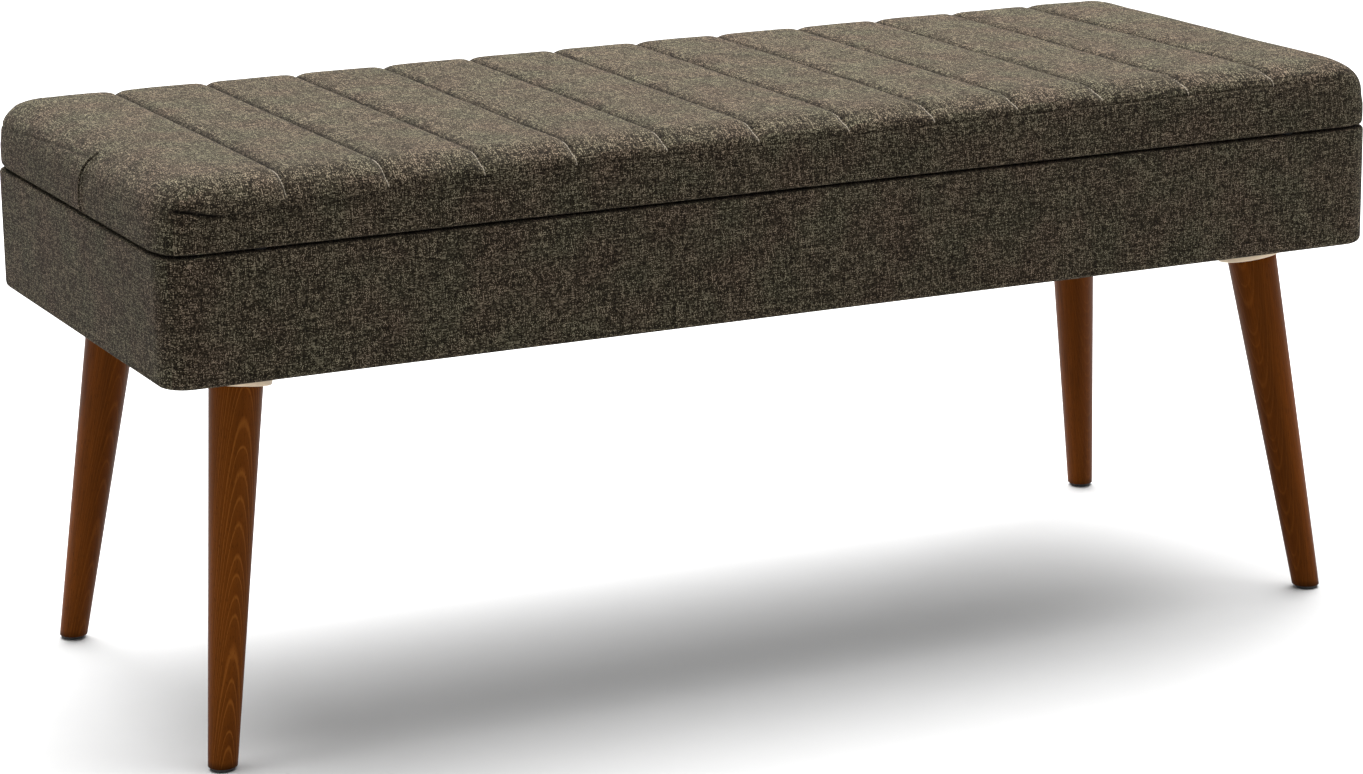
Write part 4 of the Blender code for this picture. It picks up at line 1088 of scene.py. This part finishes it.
def leg_shape(corner):
    """Foot, axis, length and the radii of foot and head of a CAD leg, read from its own points."""
    points = rows_of(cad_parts["leg_" + corner].data.vertices, "co")
    on_floor = points[:, 2] < points[:, 2].min() + FLOOR_ROOM
    foot = (points[on_floor].min(axis=0) + points[on_floor].max(axis=0)) / 2.0
    axis = np.linalg.svd(points - points.mean(axis=0), full_matrices=False)[2][0]
    axis *= np.sign(axis[2])
    for _ in range(4):
        far = (points - foot) @ axis
        head = np.unique(points[far > far.max() - HEAD_DEPTH].round(6), axis=0)
        away = head - foot - np.outer((head - foot) @ axis, axis)
        wide = head[np.linalg.norm(away - away.mean(axis=0), axis=1) > HEAD_RIM]
        middle = wide.mean(axis=0)
        axis = (middle - foot) / np.linalg.norm(middle - foot)
    far = (points - foot) @ axis
    size = np.linalg.norm(points - foot - np.outer(far, axis), axis=1)
    top = size[far > far.max() - TOP_DEPTH].max()
    low = np.partition(size[on_floor & (size > FOOT_RIM)], 3)[:4].mean()
    return Vector(foot), Vector(axis), float(far.max()), float(low), float(top)


def leg_rows(length):
    """(rise, shrink) of every ring of a leg, with its two edges eased."""
    rows = [(0.0, -FOOT_ROUND), (0.0, -0.3 * FOOT_ROUND), (0.3 * FOOT_ROUND, 0.0)]
    for k in range(LEG_ROWS + 1):
        rows.append((FOOT_ROUND + (length - 2.0 * FOOT_ROUND) * k / LEG_ROWS, 0.0))
    return rows + [(length - 0.3 * FOOT_ROUND, -0.25 * FOOT_ROUND), (length, -FOOT_ROUND)]


def leg_faces(row_count):
    """The faces of a leg's side and of its two ends."""
    faces = []
    for r in range(row_count - 1):
        a = r * LEG_SIDES
        for k in range(LEG_SIDES):
            n = (k + 1) % LEG_SIDES
            faces.append((a + k, a + n, a + LEG_SIDES + n, a + LEG_SIDES + k))
    faces.append(tuple(reversed(range(LEG_SIDES))))
    faces.append(tuple((row_count - 1) * LEG_SIDES + k for k in range(LEG_SIDES)))
    return faces


def leg_grain(corner, local, axis, across, other):
    """Each point's place in the wood, from its place about the leg's axis."""
    face = Vector((*GRAIN_FACES[corner], 0.0))
    face = (face - axis * face.dot(axis)).normalized()
    cos, sin = face.dot(across), face.dot(other)
    x, y, z = local.T
    run = z * GRAIN_RUN[corner] + WOOD_APART * CORNERS.index(corner)
    return np.stack([x * cos + y * sin, -x * sin + y * cos, run], axis=1)


def make_leg(corner):
    """A turned tapering leg with a level foot and eased edges."""
    foot, axis, length, low, top = leg_shape(corner)
    across = Vector((0.0, 0.0, 1.0)).cross(axis).normalized()
    other = axis.cross(across)
    points, local = [], []
    rows = leg_rows(length)
    for rise, shrink in rows:
        for k in range(LEG_SIDES):
            angle = math.tau * k / LEG_SIDES
            out = across * math.cos(angle) + other * math.sin(angle)
            begin = 0.0  # distance along the axis at which this side meets the floor
            for _ in range(3):
                size = low + (top - low) * begin / length
                begin = -(out.z * size) / axis.z
            at = begin + (length - begin) * rise / length
            size = low + (top - low) * max(at, begin) / length + shrink
            points.append(foot + axis * at + out * size)
            local.append((size * math.cos(angle), size * math.sin(angle), at))
    made = add_mesh("leg_turned_" + corner, points, leg_faces(len(rows)))
    local = np.array(local)
    add_vector(made.data, "grain", "POINT", leg_grain(corner, local, axis, across, other))
    add_value(made.data, "figure", np.full(len(local), GRAIN_FIGURE[corner]))
    add_value(made.data, "edge", np.clip(1.0 - local[:, 2] / FOOT_DARK_HEIGHT, 0.0, 1.0))
    return made


# ---------------------------------------------------------------- assembly


def build_lid(fabric):
    """The lid's upholstery and its stitches."""
    lid, lid_points, lid_normals, lid_outside = lid_cover()
    dress(lid, fabric)
    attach(lid, "lid")
    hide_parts("lid_cover", "lid_pad")

    stitches = lid_stitches(lid_points, lid_normals, lid_outside)
    dress(stitches, make_plain("thread", *THREAD_LOOK))
    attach(stitches, "lid")


def build_box(fabric):
    """The box's upholstery."""
    cover = box_cover()
    dress(cover, fabric)
    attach(cover, "base")
    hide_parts("base_cover")


def build_legs(walnut):
    """The four legs."""
    for corner in CORNERS:
        leg = make_leg(corner)
        dress(leg, walnut)
        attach(leg, "base")
        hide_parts("leg_" + corner)


def cad_look(name):
    """Which material a CAD node of this name has."""
    if name.startswith("leg_wedge"):
        return "beech"
    if name.startswith("leg_"):
        return "walnut"
    if name.startswith(("glide", "bumper")):
        return "rubber"
    if "dust" in name:
        return "dust_cloth"
    if "lining" in name:
        return "lining"
    if name.startswith(("hinge", "stay", "hanger", "tee")):
        return "steel"
    return "pine"


def dress_cad_nodes(walnut):
    """Gives every CAD node its material."""
    looks = {name: make_plain(name, *values) for name, values in PLAIN_LOOKS.items()}
    looks["walnut"] = walnut
    for name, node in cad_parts.items():
        dress(node, looks[cad_look(name)])


def main():
    """Builds everything that shows."""
    bpy.context.scene.view_settings.view_transform = "Standard"
    make_camera()
    make_world()
    make_floor()
    make_key()
    fabric = make_fabric("fabric")
    build_lid(fabric)
    build_box(fabric)
    walnut = make_wood("walnut", *WALNUT)
    build_legs(walnut)
    dress_cad_nodes(walnut)


main()
